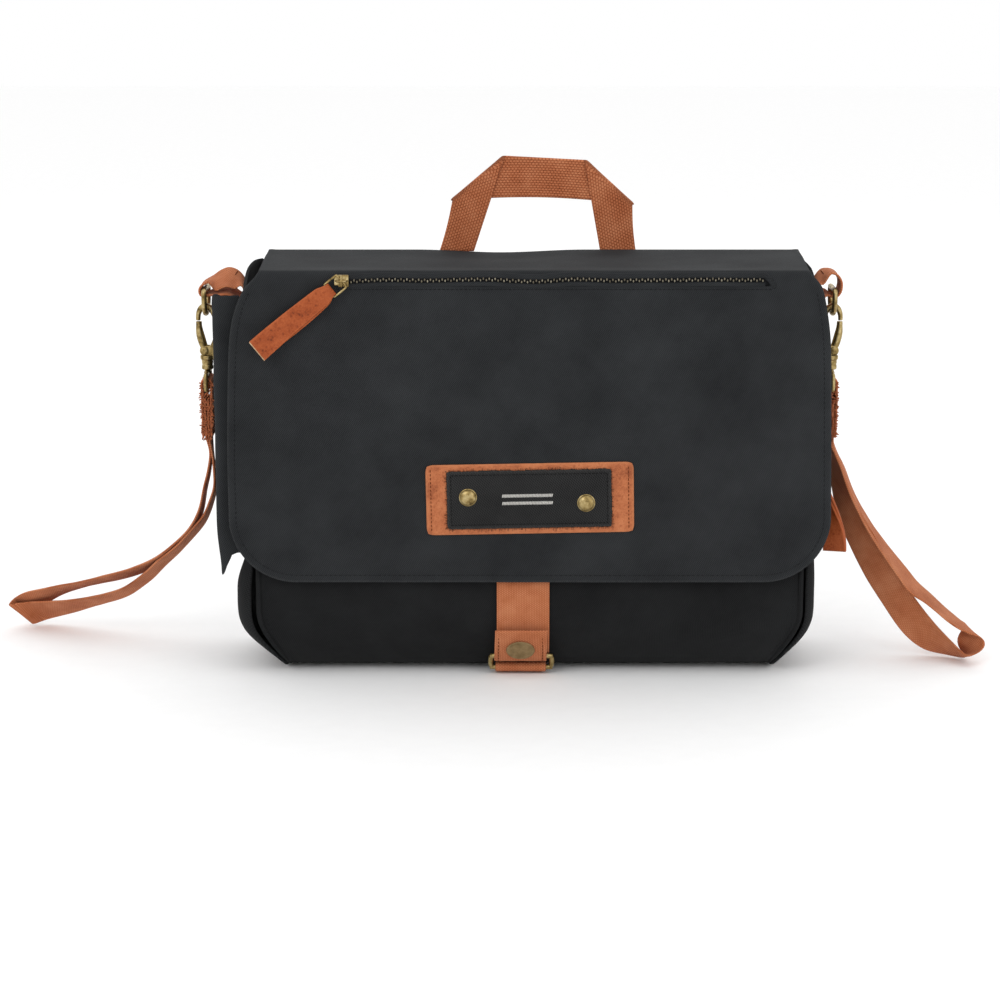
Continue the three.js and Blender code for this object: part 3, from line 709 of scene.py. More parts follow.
def wall_piece(name, first, last, node):
    """One panel of the wall, between two places on the outline."""
    across = [-1 + 2 * t for t in shares(96)]
    rows, cloth = [], []
    for i in range(first, last + 1):
        y, z = outline[i]
        before, after = outline[max(i - 1, 0)], outline[min(i + 1, len(outline) - 1)]
        out = Vector((0, -(after[1] - before[1]), after[0] - before[0])).normalized() * -1
        if i == 0:
            out = Vector((0, -1, 0))
        row = []
        for t in across:
            x = t * seam_x(z)
            dip = -2.2 * smooth(0, 60, 60 - abs(x + 20)) if y > 50 and z > BACK_TOP - 1 else 0.0
            row.append(Vector((x, y, z + dip)) + out * wall_relief(x, y, z))
        rows.append(row)
        cloth.append([(t * SIDE_X, i * 4.0) for t in across])
    data = cloth_shell(rows, cloth, SHEET, flip=True)
    obj = data.piece(name, SHADED_BODY_CANVAS, subdivide=1)
    return settle(obj, "bag", "canvas", node)


outline = wall_outline()
base_first = max(i for i, p in enumerate(outline) if p[0] <= NOSE_Y + 0.01 and p[1] < 1)
base_last = min(i for i, p in enumerate(outline) if p[0] >= HEEL_Y - 0.01)
wall_piece("front_wall", 0, base_first, "front_panel")
wall_piece("base_wall", base_first, base_last, "base_panel")
wall_piece("back_wall", base_last, len(outline) - 1, "back_panel")


def gusset_x(side, y, z):
    """Outer face of a side panel."""
    low, high = front_y(z), back_y(z)
    t = (y - low) / max(high - low, 1e-6)
    full = max(1 - abs(2 * t - 1) ** 7, 0.0) ** 0.5
    swell = SEAM_IN * lerp(0.35, 1.0, smooth(0, 34, z))
    swell += (6.0 if side < 0 else 1.0) * smooth(4, 36, z) * (1 - smooth(62, 84, z))
    ease = 0.7 * waver((side * 100, y, z), 38.0, 4) * full * (1 - smooth(60, 75, z))
    return side * (seam_x(z) + full * swell + ease - 0.2)


def gusset(name, side, node):
    levels = steps(0.0, NOSE_R, 2.6) + steps(NOSE_R, corners(node)[1].z, 5.0)[1:]
    share = [0.5 - 0.5 * math.cos(math.pi * t) for t in shares(30)]
    rows, cloth = [], []
    for z in levels:
        low, high = front_y(z) + 1.0, back_y(z) - 1.0
        if z > FRONT_TOP - 2:
            low = lerp(low, 40.0, smooth(FRONT_TOP - 4, BACK_TOP + 8, z))
        cloth.append([(lerp(low, high, t), z) for t in share])
        rows.append([Vector((gusset_x(side, y, z), y, max(z, FLOOR_GAP))) for y, _ in cloth[-1]])
    data = cloth_shell(rows, cloth, SHEET, flip=side > 0)
    return settle(data.piece(name, SHADED_BODY_CANVAS, subdivide=1), "bag", "canvas", node)


gusset("left_side", -1, "left_gusset")
gusset("right_side", 1, "right_gusset")


def side_piping(name, side):
    """Bound seam that runs down the front, under the base and up the back."""
    path = [(side * (seam_x(z) + 0.2), lerp(y, 0, 0.012), lerp(z, 140, 0.012) + 0.1)
            for y, z in wall_outline(6.0)[1:-1]]
    data = tube(path, 1.7, sides=10, pitch=2.5)
    return settle(data.piece(name, SHADED_BODY_CANVAS), "bag", "canvas")


side_piping("left_seam_piping", -1)
side_piping("right_seam_piping", 1)


def seam_stitching():
    data = Data()
    for side in (-1, 1):
        path = []
        for y, z in wall_outline(4.0)[1:base_first]:
            x = side * (seam_x(z) - 5.0)
            out = Vector((0, y - NOSE_Y, z - NOSE_R)).normalized() if z < NOSE_R else Vector((0, -1, 0))
            path.append((Vector((x, y, z)) + out * (wall_relief(x, y, z) + 0.12), out))
        data.add(stitches(path))
    z = FRONT_TOP - 6
    data.add(stitches([((x, FRONT_Y - wall_relief(x, FRONT_Y, z) - 0.12, z), (0, -1, 0))
                       for x in steps(-180, 180, 5)]))
    return settle(data.piece("wall_stitching", DARK_THREAD), "bag", "canvas")


seam_stitching()


def lining_bag():
    """Loose lining tub: four walls and a floor in one cloth, open at the top."""
    low, high = corners("lining")
    y_mid = (low.y + high.y) / 2
    levels = steps(high.z, low.z + 26, 7.0) + [low.z + 14, low.z + 6, low.z + 2, low.z + 0.8, low.z + 0.6]
    shrink = [1.0] * (len(levels) - 5) + [0.985, 0.95, 0.86, 0.5, 0.05]
    rows, cloth = [], []
    turns = steps(0.0, 2 * math.pi, 2 * math.pi / 160)[:-1]
    for z, k in zip(levels, shrink):
        back, front = min(back_y(max(z, 1)), high.y + 2.4), front_y(max(z, 1))
        half_x, half_y, mid_y = seam_x(z) + 3.0, (back - front) / 2 - 4.6, (back + front) / 2
        row = []
        for a in turns:
            c, s = math.cos(a), math.sin(a)
            x = half_x * math.copysign(abs(c) ** 0.22, c) * k
            y = mid_y + half_y * math.copysign(abs(s) ** 0.3, s) * k
            sag = 1.6 * waver((x, y * 2, z * 0.7), 34.0, 6)
            row.append(Vector((x, y + (-sag if y > y_mid else sag) * (1 if abs(s) > 0.3 else 0), z)))
        rows.append(row)
        cloth.append([(a * 92.0, z + (1 - k) * 60) for a in turns])
    data = cloth_shell(rows, cloth, 0.9, loop=True)
    last = (len(levels) - 1) * len(turns)
    data.face([last + i for i in range(len(turns))])
    inner = len(levels) * len(turns)
    data.face([inner + last + i for i in reversed(range(len(turns)))])
    return settle(data.piece("lining_tub", LINING), "bag", "lining", "lining")


lining_bag()


# ---------------------------------------------------------------- bottle pocket
def bottle_pocket():
    """Open pocket on the left side: an outer wall, pleated sides and a floor drawn in to the bag."""
    low, high = corners("bottle_pocket")
    out_x, in_x = low.x + 2.4, high.x - 0.6
    plan = path_through([
        (in_x, low.y + 3, 0), (lerp(in_x, out_x, 0.45), low.y + 0.8, 0), (out_x + 2.0, low.y + 0.4, 0),
        (out_x, low.y + 2.5, 0), (out_x + 0.6, low.y + 20, 0), (out_x + 1.6, 0, 0),
        (out_x + 0.8, high.y - 18, 0), (out_x + 2.0, high.y - 3.5, 0), (lerp(in_x, out_x, 0.5), high.y - 0.8, 0),
        (in_x, high.y - 3, 0)], 3.0)
    rows, cloth = [], []
    for t in shares(52):
        row, flat = [], []
        length = 0.0
        for k, (x, y, _) in enumerate(plan):
            if k:
                length += math.hypot(x - plan[k - 1][0], y - plan[k - 1][1])
            outward = min(max((in_x - x) / (in_x - out_x), 0.0), 1.0)
            bottom = lerp(88.0, 71.5, smooth(0.5, 1.0, outward))
            top = lerp(high.z - 1, 252.0, smooth(low.y, high.y, y))
            z = lerp(bottom, top, t)
            tuck = 0.16 * (1 - smooth(0.0, 0.2, t)) * outward
            crease = 0.8 * waver((x, y, z), 30.0, 8) + 0.7 * math.exp(-((t - 0.965) / 0.012) ** 2)
            px = lerp(x, in_x, tuck) - crease * outward * 0.8
            row.append(Vector((px, y + 0.5 * waver((x, y, z), 22.0, 9), z)))
            flat.append((length, z))
        rows.append(row)
        cloth.append(flat)
    outer = cloth_shell(rows, cloth, 1.5)
    settle(outer.piece("bottle_pocket_cloth", CANVAS, subdivide=1), "bag", "canvas", "bottle_pocket")
    floor_rows, floor_cloth = [], []
    for s in shares(8):
        row = []
        for y in steps(low.y + 3.5, high.y - 3.5, 4.0):
            x = lerp(in_x + 0.2, out_x + 3.6, s)
            row.append(Vector((x, y, lerp(91.0, 84.0, s) + 0.6 * waver((x, y, 0), 12.0, 3))))
        floor_rows.append(row)
        floor_cloth.append([(s * 20, p.y) for p in row])
    bottom = cloth_shell(floor_rows, floor_cloth, 1.2)
    settle(bottom.piece("bottle_pocket_floor", CANVAS, subdivide=1), "bag", "canvas")
    hem = stitches([((rows[-4][k].x - 0.1, rows[-4][k].y, rows[-4][k].z), (-1, 0, 0))
                    for k in range(8, len(plan) - 7)], lift=0.3)
    settle(hem.piece("bottle_pocket_stitching", DARK_THREAD), "bag", "canvas")


bottle_pocket()


# ---------------------------------------------------------------- flap
hang_low = corners("flap_front_canvas")[0]
lie_low, lie_high = corners("flap_top_canvas")
FACE_Y, FLAP_TOP, FLAP_BOTTOM = hang_low.y, lie_high.z, hang_low.z
REAR_Y = lie_high.y
FOLD_R = 4.0           # radius of the front fold
CORNER_R = 46.5        # radius of the two lower corners
CORNER_X, CORNER_Z = 162.0, FLAP_BOTTOM + CORNER_R
KNEE = 130.0           # columns of the cloth run straight as far out as this
WIDEST = 208.5
# (height, half width) of the hanging half
LEFT_EDGE = [(CORNER_Z, 208.3), (160, 208.5), (235, 206), (257, 202.5), (274, 195.5), (283, 187.5), (287, 185)]
RIGHT_EDGE = [(CORNER_Z, 208.3), (160, 207.5), (235, 205.5), (257, 203), (276, 198.5), (283, 193), (287, 190)]
LIE_LEFT, LIE_RIGHT = -lie_low.x, lie_high.x
# the slot in the cloth that shows the zip
WINDOW_LEFT, WINDOW_RIGHT = -130.9, 169.4
WINDOW_TOP, WINDOW_BOTTOM = 284.5, 276.7
zip_low, zip_high = corners("flap_zip_tape")
ZIP_LEFT, ZIP_RIGHT = zip_low.x, zip_high.x
ZIP_MID = (zip_low.z + zip_high.z) / 2


def hang_extent(side, z):
    """Half width of the hanging half at a height."""
    if z < CORNER_Z:
        return CORNER_X + math.sqrt(max(CORNER_R ** 2 - (CORNER_Z - z) ** 2, 0.0))
    return curve_through(LEFT_EDGE if side < 0 else RIGHT_EDGE, z)


def edge_distance(x, z):
    """Distance of a point of the hanging half from the flap's side and lower edges."""
    if z < CORNER_Z and abs(x) > CORNER_X:
        return CORNER_R - math.hypot(abs(x) - CORNER_X, z - CORNER_Z)
    reach = hang_extent(math.copysign(1, x), z) - abs(x)
    return min(reach, z - FLAP_BOTTOM) if z < CORNER_Z + 40 else reach


def hang_relief(x, z):
    """Outward relief of the hanging half: hem, drape and the pull of the sewn-on parts."""
    d = edge_distance(x, z)
    hem = 0.45 * (1 - smooth(5.5, 7.5, d)) - 0.3 * math.exp(-((d - 5.0) / 0.9) ** 2)
    pucker = 0.22 * math.exp(-((d - 7.5) / 4.0) ** 2) * math.sin((x + z) / 2.6)
    calm = smooth(0, 34, max(abs(x) - 66, abs(z - 131) - 22)) * smooth(0, 12, FLAP_TOP - 8 - z)
    drape = 1.1 * waver((x, 0, z * 0.8), 95.0, 11) + 0.45 * waver((x, 0, z), 33.0, 12)
    slack = 0.9 * math.exp(-((z - 262) / 9) ** 2) * waver((x, 3, 0), 42.0, 13)
    return hem + pucker + drape * calm + slack * smooth(0, 10, FLAP_TOP - 6 - z)


def flap_rows():
    """(y, z, outward direction) from the rear edge over the fold to the lower hem."""
    rows = [(y, FLAP_TOP, Vector((0, 0, 1)))
            for y in [REAR_Y, REAR_Y - 1.5] + steps(REAR_Y - 4, FACE_Y + FOLD_R, 4.0)]
    for angle in (75, 58, 40, 22, 0):
        a = math.radians(angle)
        out = Vector((0, -math.cos(a), math.sin(a)))
        rows.append((FACE_Y + FOLD_R + FOLD_R * out.y, FLAP_TOP - FOLD_R + FOLD_R * out.z, out))
    front = Vector((0, -1, 0))
    for z in [281.7, 280.5, 279.3, 278.1, 276.6, 275.6, 274.2, 272] + steps(269, CORNER_Z, 3.6):
        rows.append((FACE_Y, z, front))
    for a in steps(0.0, math.pi / 2, 3.4 / CORNER_R)[1:]:
        rows.append((FACE_Y, CORNER_Z - CORNER_R * math.sin(a), front))
    return rows


def flap_columns():
    """Columns of the flap's cloth, closer near its edges, with one on each end of the zip's slot."""
    half = [0.0] + steps(3.0, 196.0, 3.9) + [198.5, 200.6, 202.4, 203.6, 205.2, 207.0, 208.1, WIDEST]
    ends = (WINDOW_LEFT, WINDOW_RIGHT)
    spaced = {c for c in half + [-c for c in half] if min(abs(c - end) for end in ends) > 1.2}
    return sorted(spaced | set(ends))


COLUMNS = flap_columns()


def flap_place(column, y, z):
    """X of a column in a row of the flap."""
    side = -1 if column < 0 else 1
    if y > FACE_Y + FOLD_R - 0.01:
        t = (REAR_Y - y) / (REAR_Y - FACE_Y)
        reach = lerp(LIE_LEFT, LEFT_EDGE[-1][1], t) if side < 0 else lerp(LIE_RIGHT, RIGHT_EDGE[-1][1], t)
    else:
        reach = hang_extent(side, z)
    if abs(column) <= KNEE:
        return column
    return side * (KNEE + (abs(column) - KNEE) * (reach - KNEE) / (WIDEST - KNEE))


def lie_relief(x, y):
    """Relief of the lying half: a soft hollow between the stiffer edges."""
    inner_ = smooth(0, 30, REAR_Y - y) * smooth(0, 26, y - FACE_Y - FOLD_R)
    d = min(abs(x + LIE_LEFT), abs(LIE_RIGHT - x))
    hollow = -1.5 * inner_ * smooth(0, 60, d) + 0.8 * inner_ * waver((x, y, 0), 55.0, 14)
    rear = -2.0 * (1 - smooth(0, 60, abs(x + 20))) * smooth(-10, 40, y)
    return hollow + rear + 0.3 * math.exp(-((d - 2) / 2.0) ** 2)


def flap_surface(inset=0.0, narrow=0.0):
    """Grid of the flap, its flat cloth and its wear; inset and narrow make the lining's smaller one."""
    rows, cloth, marks = [], [], []
    run = 0.0
    previous = None
    for y, z, out in flap_rows():
        if previous:
            run += math.hypot(y - previous[0], z - previous[1])
        previous = (y, z)
        row, flat, mark = [], [], []
        for column in COLUMNS:
            x = flap_place(column, y, z)
            if narrow:
                x -= math.copysign(narrow * smooth(150, 205, abs(column)), x)
            if out.z > 0.99:
                relief = lie_relief(x, y)
                d = min(abs(x + LIE_LEFT), abs(LIE_RIGHT - x))
            else:
                relief = hang_relief(x, z) if out.z < 0.01 else 0.0
                d = edge_distance(x, z)
            lowered = narrow if z < FLAP_BOTTOM + 2 else 0.0
            row.append(Vector((x, y, z + lowered)) + out * (relief * (1.0 if not inset else 0.8) - inset))
            flat.append((x, run))
            mark.append(max(0.0, 0.8 - d / 2.2))
        rows.append(row)
        cloth.append(flat)
        marks.append(mark)
    return rows, cloth, marks


def bend_flap(obj, slot, *nodes):
    """The flap's cloth, built turning from its lying half into its hanging half over the front fold, hides its CAD
    nodes and keeps its place baked into its mesh.
    """
    if nodes:
        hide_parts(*nodes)
    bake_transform(obj)


def flap():
    rows, cloth, marks = flap_surface()
    heights = [z for _, z, _ in flap_rows()]
    first = max(i for i, z in enumerate(heights) if z >= WINDOW_TOP - 0.05)
    last = min(i for i, z in enumerate(heights) if z <= WINDOW_BOTTOM)

    def open_cell(i, j):
        middle = (COLUMNS[j] + COLUMNS[j + 1]) / 2
        return first <= i < last and WINDOW_LEFT < middle < WINDOW_RIGHT
    data = cloth_shell(rows, cloth, 1.9, hidden=open_cell, worn=lambda i, j: marks[i][j], flip=True)
    bend_flap(data.piece("flap_cloth", CANVAS, subdivide=1), "canvas", "flap_top_canvas", "flap_front_canvas")
    rows, cloth, _ = flap_surface(inset=2.2, narrow=1.4)
    data = cloth_shell(rows, cloth, 0.8, flip=True)
    bend_flap(data.piece("flap_lining_cloth", LINING), "lining", "flap_top_lining", "flap_front_lining")


flap()


def flap_stitching():
    """Topstitching 5 mm inside the flap's edge, and round the zip window."""
    inset, top, under = 5.0, 272.0, 274.4
    reach = CORNER_R - inset
    path = [(-(hang_extent(-1, z) - inset), z) for z in steps(top, CORNER_Z, 5.0)]
    path += [(-CORNER_X - reach * math.cos(a), CORNER_Z - reach * math.sin(a))
             for a in steps(0, math.pi / 2, 0.09)[1:]]
    path += [(x, FLAP_BOTTOM + inset) for x in steps(-CORNER_X, CORNER_X, 5.0)[1:]]
    path += [(CORNER_X + reach * math.sin(a), CORNER_Z - reach * math.cos(a))
             for a in steps(0, math.pi / 2, 0.09)[1:]]
    path += [(hang_extent(1, z) - inset, z) for z in steps(CORNER_Z, top, 5.0)[1:]]
    data = stitches([((x, FACE_Y - hang_relief(x, z) - 0.1, z), (0, -1, 0)) for x, z in path])
    lower = [((x, FACE_Y - hang_relief(x, under) - 0.1, under), (0, -1, 0))
             for x in steps(ZIP_LEFT - 2, ZIP_RIGHT + 2, 5.0)]
    data.add(stitches(lower, pitch=3.0, length=2.1))
    for x in (ZIP_LEFT - 2.4, ZIP_RIGHT + 2.4):
        data.add(stitches([((x, FACE_Y - 0.15, z), (0, -1, 0)) for z in (275.4, 282.0)], **WEB_STITCH))
    settle(data.piece("flap_stitching", DARK_THREAD), "flap_front", "canvas")


flap_stitching()


# ---------------------------------------------------------------- zips
TOOTH_PITCH = 2.0
TOOTH = [(0, -0.95), (0.38, -0.8), (0.55, -0.3), (0.55, 0.3), (0.38, 0.8), (0, 0.95)]


def zip_teeth(length):
    """Closed row of teeth along X, centred, facing -Y."""
    data = Data()
    count = int(length / TOOTH_PITCH)
    for k in range(count):
        x = (k - (count - 1) / 2) * TOOTH_PITCH
        data.add(lathe(TOOTH, (x, 0, 0.5 if k % 2 else -0.5), (0, 0, 1), sides=8))
    return data


def zip_wave(x):
    """Height of the waves that the soft flap puts into its zip."""
    return 1.5 * waver((x, 0, 0), 38.0, 21)


def zip_band(name, rows, axis, body, node):
    """Woven tape of a zip that runs along an axis, from a grid of points."""
    cloth = [[(p[axis], p.z) for p in row] for row in rows]
    settle(cloth_shell(rows, cloth, 0.7, flip=True).piece(name, TAPE), body, "zip_tape", node)


def flap_zip():
    teeth_low, teeth_high = corners("flap_zip_teeth")
    y = (teeth_low.y + teeth_high.y) / 2
    middle = (teeth_low.x + teeth_high.x) / 2
    data = zip_teeth(teeth_high.x - teeth_low.x)
    data.verts = [(x, v * 1.1, z + zip_wave(x + middle)) for x, v, z in data.verts]
    data.moved(Matrix.Translation((middle, y - 0.2, ZIP_MID)))
    settle(data.piece("flap_zip_chain", TEETH), "flap_front", "zip_teeth", "flap_zip_teeth")
    zip_band("flap_zip_band", [[Vector((x, zip_low.y + 0.25 + 0.15 * waver((x, 0, z), 20.0, 5), z))
                                for x in steps(ZIP_LEFT, ZIP_RIGHT, 4.0)]
                               for z in steps(zip_high.z, zip_low.z, 1.0)], 0, "flap_front", "flap_zip_tape")
    lips = Data()
    for z, size, y_lip in ((WINDOW_TOP - 1.0, 2.0, FACE_Y + 0.75), (277.3, 1.6, FACE_Y + 0.45)):
        path = [(x, y_lip, z + zip_wave(x)) for x in steps(ZIP_LEFT - 1.5, ZIP_RIGHT - 3, 6)]
        if z > ZIP_MID:
            path += [(ZIP_RIGHT - 0.5, y_lip - 0.1, z - 1.8), (ZIP_RIGHT + 2.2, y_lip - 0.3, z - 5.0),
                     (ZIP_RIGHT + 4.0, y_lip, z - 8.0)]
        lips.add(tube(path, size, sides=12, squash=0.6, across=(0, 0, 1), pitch=2.5))
    settle(lips.piece("flap_zip_lips", CANVAS), "flap_front", "canvas")


flap_zip()


def slider_local():
    """Slider on a zip: s along the chain, o outwards, u across; returned as (s, o, u) parts."""
    base = []
    for s0, s1, wide in ((-4.9, -1.0, 3.0), (-2.0, 4.9, 4.1)):
        base.append(block((s0, 0.2, -wide), (s1, 2.1, wide)))
    bridge = tube([(-3.4, 1.8, 0), (-2.8, 4.2, 0), (0, 5.0, 0), (2.8, 4.4, 0), (3.8, 1.8, 0)], 0.62, sides=10,
                  squash=1.5, pitch=0.5)
    ears = [tube([(0, 1.6, side * 3.4), (0, 4.0, side * 3.5), (0, 4.9, side * 2.4)], 0.7, sides=8, pitch=0.5)
            for side in (-1, 1)]
    bar = tube([(0, 4.7, -2.8), (0, 4.7, 2.8)], 0.65, sides=10, pitch=0.5)
    return base + [bridge, bar] + ears


def basis(origin, *axes):
    """Matrix that puts a piece at an origin, with its X, Y and Z along three axes."""
    matrix = Matrix.Identity(4)
    for c, axis in enumerate(axes):
        for r, value in enumerate(Vector(axis).normalized()):
            matrix[r][c] = value
        matrix[c][3] = origin[c]
    return matrix


PULL_REACH = 10.5      # from the slider's bar to the far side of the wire bail
PULL_END = 73.6        # from the slider's bar to the cut end of the leather
SLIDER_RISE = 3.3      # from the slider's back to the bar that holds the bail


def pull_ring(place):
    """Wire bail between the slider and the leather, in (w, t, d)."""
    reach = PULL_REACH
    wire = [(-4.2, 0, -0.2), (4.2, 0, -0.2), (5.3, 0, 1.4), (5.3, 0, reach - 1.2),
            (4.2, 0, reach), (-4.2, 0, reach), (-5.3, 0, reach - 1.2), (-5.3, 0, 1.4)]
    return tube(wire, 0.78, closed=True, across=(0, 1, 0), sides=12, pitch=0.6).moved(place)


def pull_leather(place, bow, lift, turn=0.0, lean=0.0):
    """Leather strip folded round the bail: two layers, cream where it is cut. lift curls its free end
    outwards, turn twists it about its length and lean carries the free end away from the bag."""
    stations = [(d, 1.0, -1) for d in steps(PULL_END, PULL_REACH + 3.0, 2.5)]
    for angle in steps(0.0, math.pi, math.pi / 8)[1:-1]:
        stations.append((PULL_REACH + 1.2 - 2.9 * math.sin(angle), math.cos(angle), 0))
    stations += [(d, -1.0, 1) for d in steps(PULL_REACH + 3.0, PULL_END, 2.5)]
    pairs = []
    for d, layer, leg in stations:
        far = smooth(PULL_REACH, PULL_END, d)
        width = lerp(9.3, 13.6, smooth(PULL_REACH - 1, 17.0, d)) + 2.8 * far
        gap = lerp(2.1, 1.0, smooth(PULL_REACH, 22.0, d)) + 0.15 * far
        arch = bow * math.sin(math.pi * min(max((d - 8) / (PULL_END - 8), 0), 1))
        t = layer * gap + arch + lift * max(0.0, (d - 46) / (PULL_END - 46)) ** 2 + lean * far
        shift = (1.1 if leg > 0 else -0.4) * math.sin(math.pi * min(max((d - 8) / 50, 0), 1))
        twist = turn * far
        wide = Vector((math.cos(twist), math.sin(twist), 0)) * (width / 2)
        off = Vector((-math.sin(twist), math.cos(twist), 0)) * layer * gap
        middle = Vector((shift, t - layer * gap, d)) + off
        pairs.append((place @ (middle - wide), place @ (middle + wide)))
    return ribbon(pairs, 1.95, uneven=0.3, seed=lift + bow, cap=1)


def zip_pull(zip_, origin, slider_axes, pull_axes, **shape):
    """Slider of one zip with its wire bail and its leather strip; the second slider axis is outwards."""
    place = basis(origin, *slider_axes)
    slider = cast(f"{zip_}_slider_body", [p.moved(place) for p in slider_local()], BRASS, voxel=0.24, rounds=3)
    settle(slider, f"{zip_}_slider", "antique_brass", f"{zip_}_zip_slider")
    place = basis(origin + Vector(slider_axes[1]) * SLIDER_RISE, *pull_axes)
    settle(pull_ring(place).piece(f"{zip_}_pull_bail", BRASS), f"{zip_}_pull", "antique_brass", f"{zip_}_zip_ring")
    strip = pull_leather(place, **shape).piece(f"{zip_}_pull_strip", PULL_LEATHER, RAW, subdivide=1)
    settle(strip, f"{zip_}_pull", "pull_leather", f"{zip_}_zip_puller")


low, high = corners("flap_zip_slider")
pull_angle = math.radians(39)      # the flap's puller hangs this far below level
down = Vector((-math.cos(pull_angle), 0, -math.sin(pull_angle)))
beside = Vector((math.sin(pull_angle), 0, -math.cos(pull_angle)))
zip_pull("flap", Vector(((low.x + high.x) / 2, high.y, ZIP_MID)), ((1, 0, 0), (0, -1, 0), (0, 0, 1)),
         (beside, (0, -1, 0), down), bow=1.2, lift=12.0)

side_tape_low, side_tape_high = corners("side_zip_tape")
side_z = (side_tape_low.z + side_tape_high.z) / 2
low, high = corners("side_zip_slider")
zip_pull("side", Vector((low.x, (low.y + high.y) / 2, side_z)), ((0, 1, 0), (1, 0, 0), (0, 0, 1)),
         ((0, 1, 0), (1, 0, 0), (0, 0, -1)), bow=0.5, lift=0.0, turn=-1.3, lean=11.0)


def side_zip():
    teeth_low, teeth_high = corners("side_zip_teeth")
    turn = basis((teeth_low.x + 0.45, (teeth_low.y + teeth_high.y) / 2, side_z), (0, 1, 0), (-1, 0, 0), (0, 0, 1))
    data = zip_teeth(teeth_high.y - teeth_low.y).moved(turn)
    settle(data.piece("side_zip_chain", TEETH), "bag", "zip_teeth", "side_zip_teeth")
    zip_band("side_zip_band", [[Vector((side_tape_high.x - 0.05 + 0.12 * waver((0, y, z), 9.0, 5), y, z))
                                for y in steps(side_tape_low.y, side_tape_high.y, 3.0)]
                               for z in steps(side_tape_high.z, side_tape_low.z, 1.6)], 1, "bag", "side_zip_tape")
    lips, x, half = Data(), side_tape_high.x - 0.2, 7.6
    for offset in (-half, half):
        lips.add(tube([(x, y, side_z + offset) for y in steps(side_tape_low.y - 1, side_tape_high.y + 1, 6)],
                      1.0, sides=10, pitch=2.5))
    for y in (side_tape_low.y - 0.5, side_tape_high.y + 0.5):
        lips.add(tube([(x, y, side_z + t) for t in steps(-half, half, 4)], 1.0, sides=10))
    settle(lips.piece("side_zip_lips", CANVAS), "bag", "canvas")


side_zip()


# ---------------------------------------------------------------- leather patch, label, rivets
PATCH_MID = Vector((0.0, 0.0, 129.1))
PATCH_W, PATCH_H = 144.0, 50.0
LABEL_X, LABEL_Z = -0.5, 129.0
LABEL_W, LABEL_H = 114.0, 41.0
TILT = Matrix.Translation(PATCH_MID) @ Matrix.Rotation(-0.018, 4, "Y") @ Matrix.Translation(-PATCH_MID)


def rounded_plate(cx, cz, w, h, radius, y_face, thick, soft, cell=2.0, ragged=0.0):
    """Flat piece facing -Y with rounded corners and a soft edge."""
    def squeeze(u, v):
        x, z = u * w / 2, v * h / 2
        ax, az = abs(x) - (w / 2 - radius), abs(z) - (h / 2 - radius)
        if ax > 0 and az > 0:
            limit = max(ax, az) / max(math.hypot(ax, az), 1e-6)
            x = math.copysign(w / 2 - radius + ax * limit, x)
            z = math.copysign(h / 2 - radius + az * limit, z)
        return x, z
    us, vs = steps(-1, 1, 2 * cell / w), steps(-1, 1, 2 * cell / h)
    rows, cloth, marks = [], [], []
    for v in reversed(vs):
        row, mark = [], []
        for u in us:
            x, z = squeeze(u, v)
            d = min(w / 2 - abs(x), h / 2 - abs(z))
            rag = ragged * waver((x, 0, z), 2.1, 31) * (1 - smooth(0, 2.5, d))
            y = y_face + soft * (1 - smooth(0, 2.2, d)) + 0.14 * waver((x, 1, z), 12.0, 32)
            row.append(Vector((cx + x + rag * (abs(u) > 0.99), y, cz + z + rag * (abs(v) > 0.99))))
            mark.append(max(0.0, 1.0 - d / 2.0))
        rows.append(row)
        cloth.append([(p.x, p.z) for p in row])
        marks.append(mark)
    return cloth_shell(rows, cloth, thick, worn=lambda i, j: marks[i][j], flip=True)


def rectangle_path(cx, cz, w, h, y, pitch=2.0):
    """Closed (place, normal) path round a rectangle that faces -Y."""
    spots = [(cx + x, cz + h / 2) for x in steps(-w / 2, w / 2, pitch)]
    spots += [(cx + w / 2, cz + z) for z in steps(h / 2, -h / 2, pitch)[1:]]
    spots += [(cx + x, cz - h / 2) for x in steps(w / 2, -w / 2, pitch)[1:]]
    spots += [(cx - w / 2, cz + z) for z in steps(-h / 2, h / 2, pitch)[1:]]
    return [((x, y, z), (0, -1, 0)) for x, z in spots]


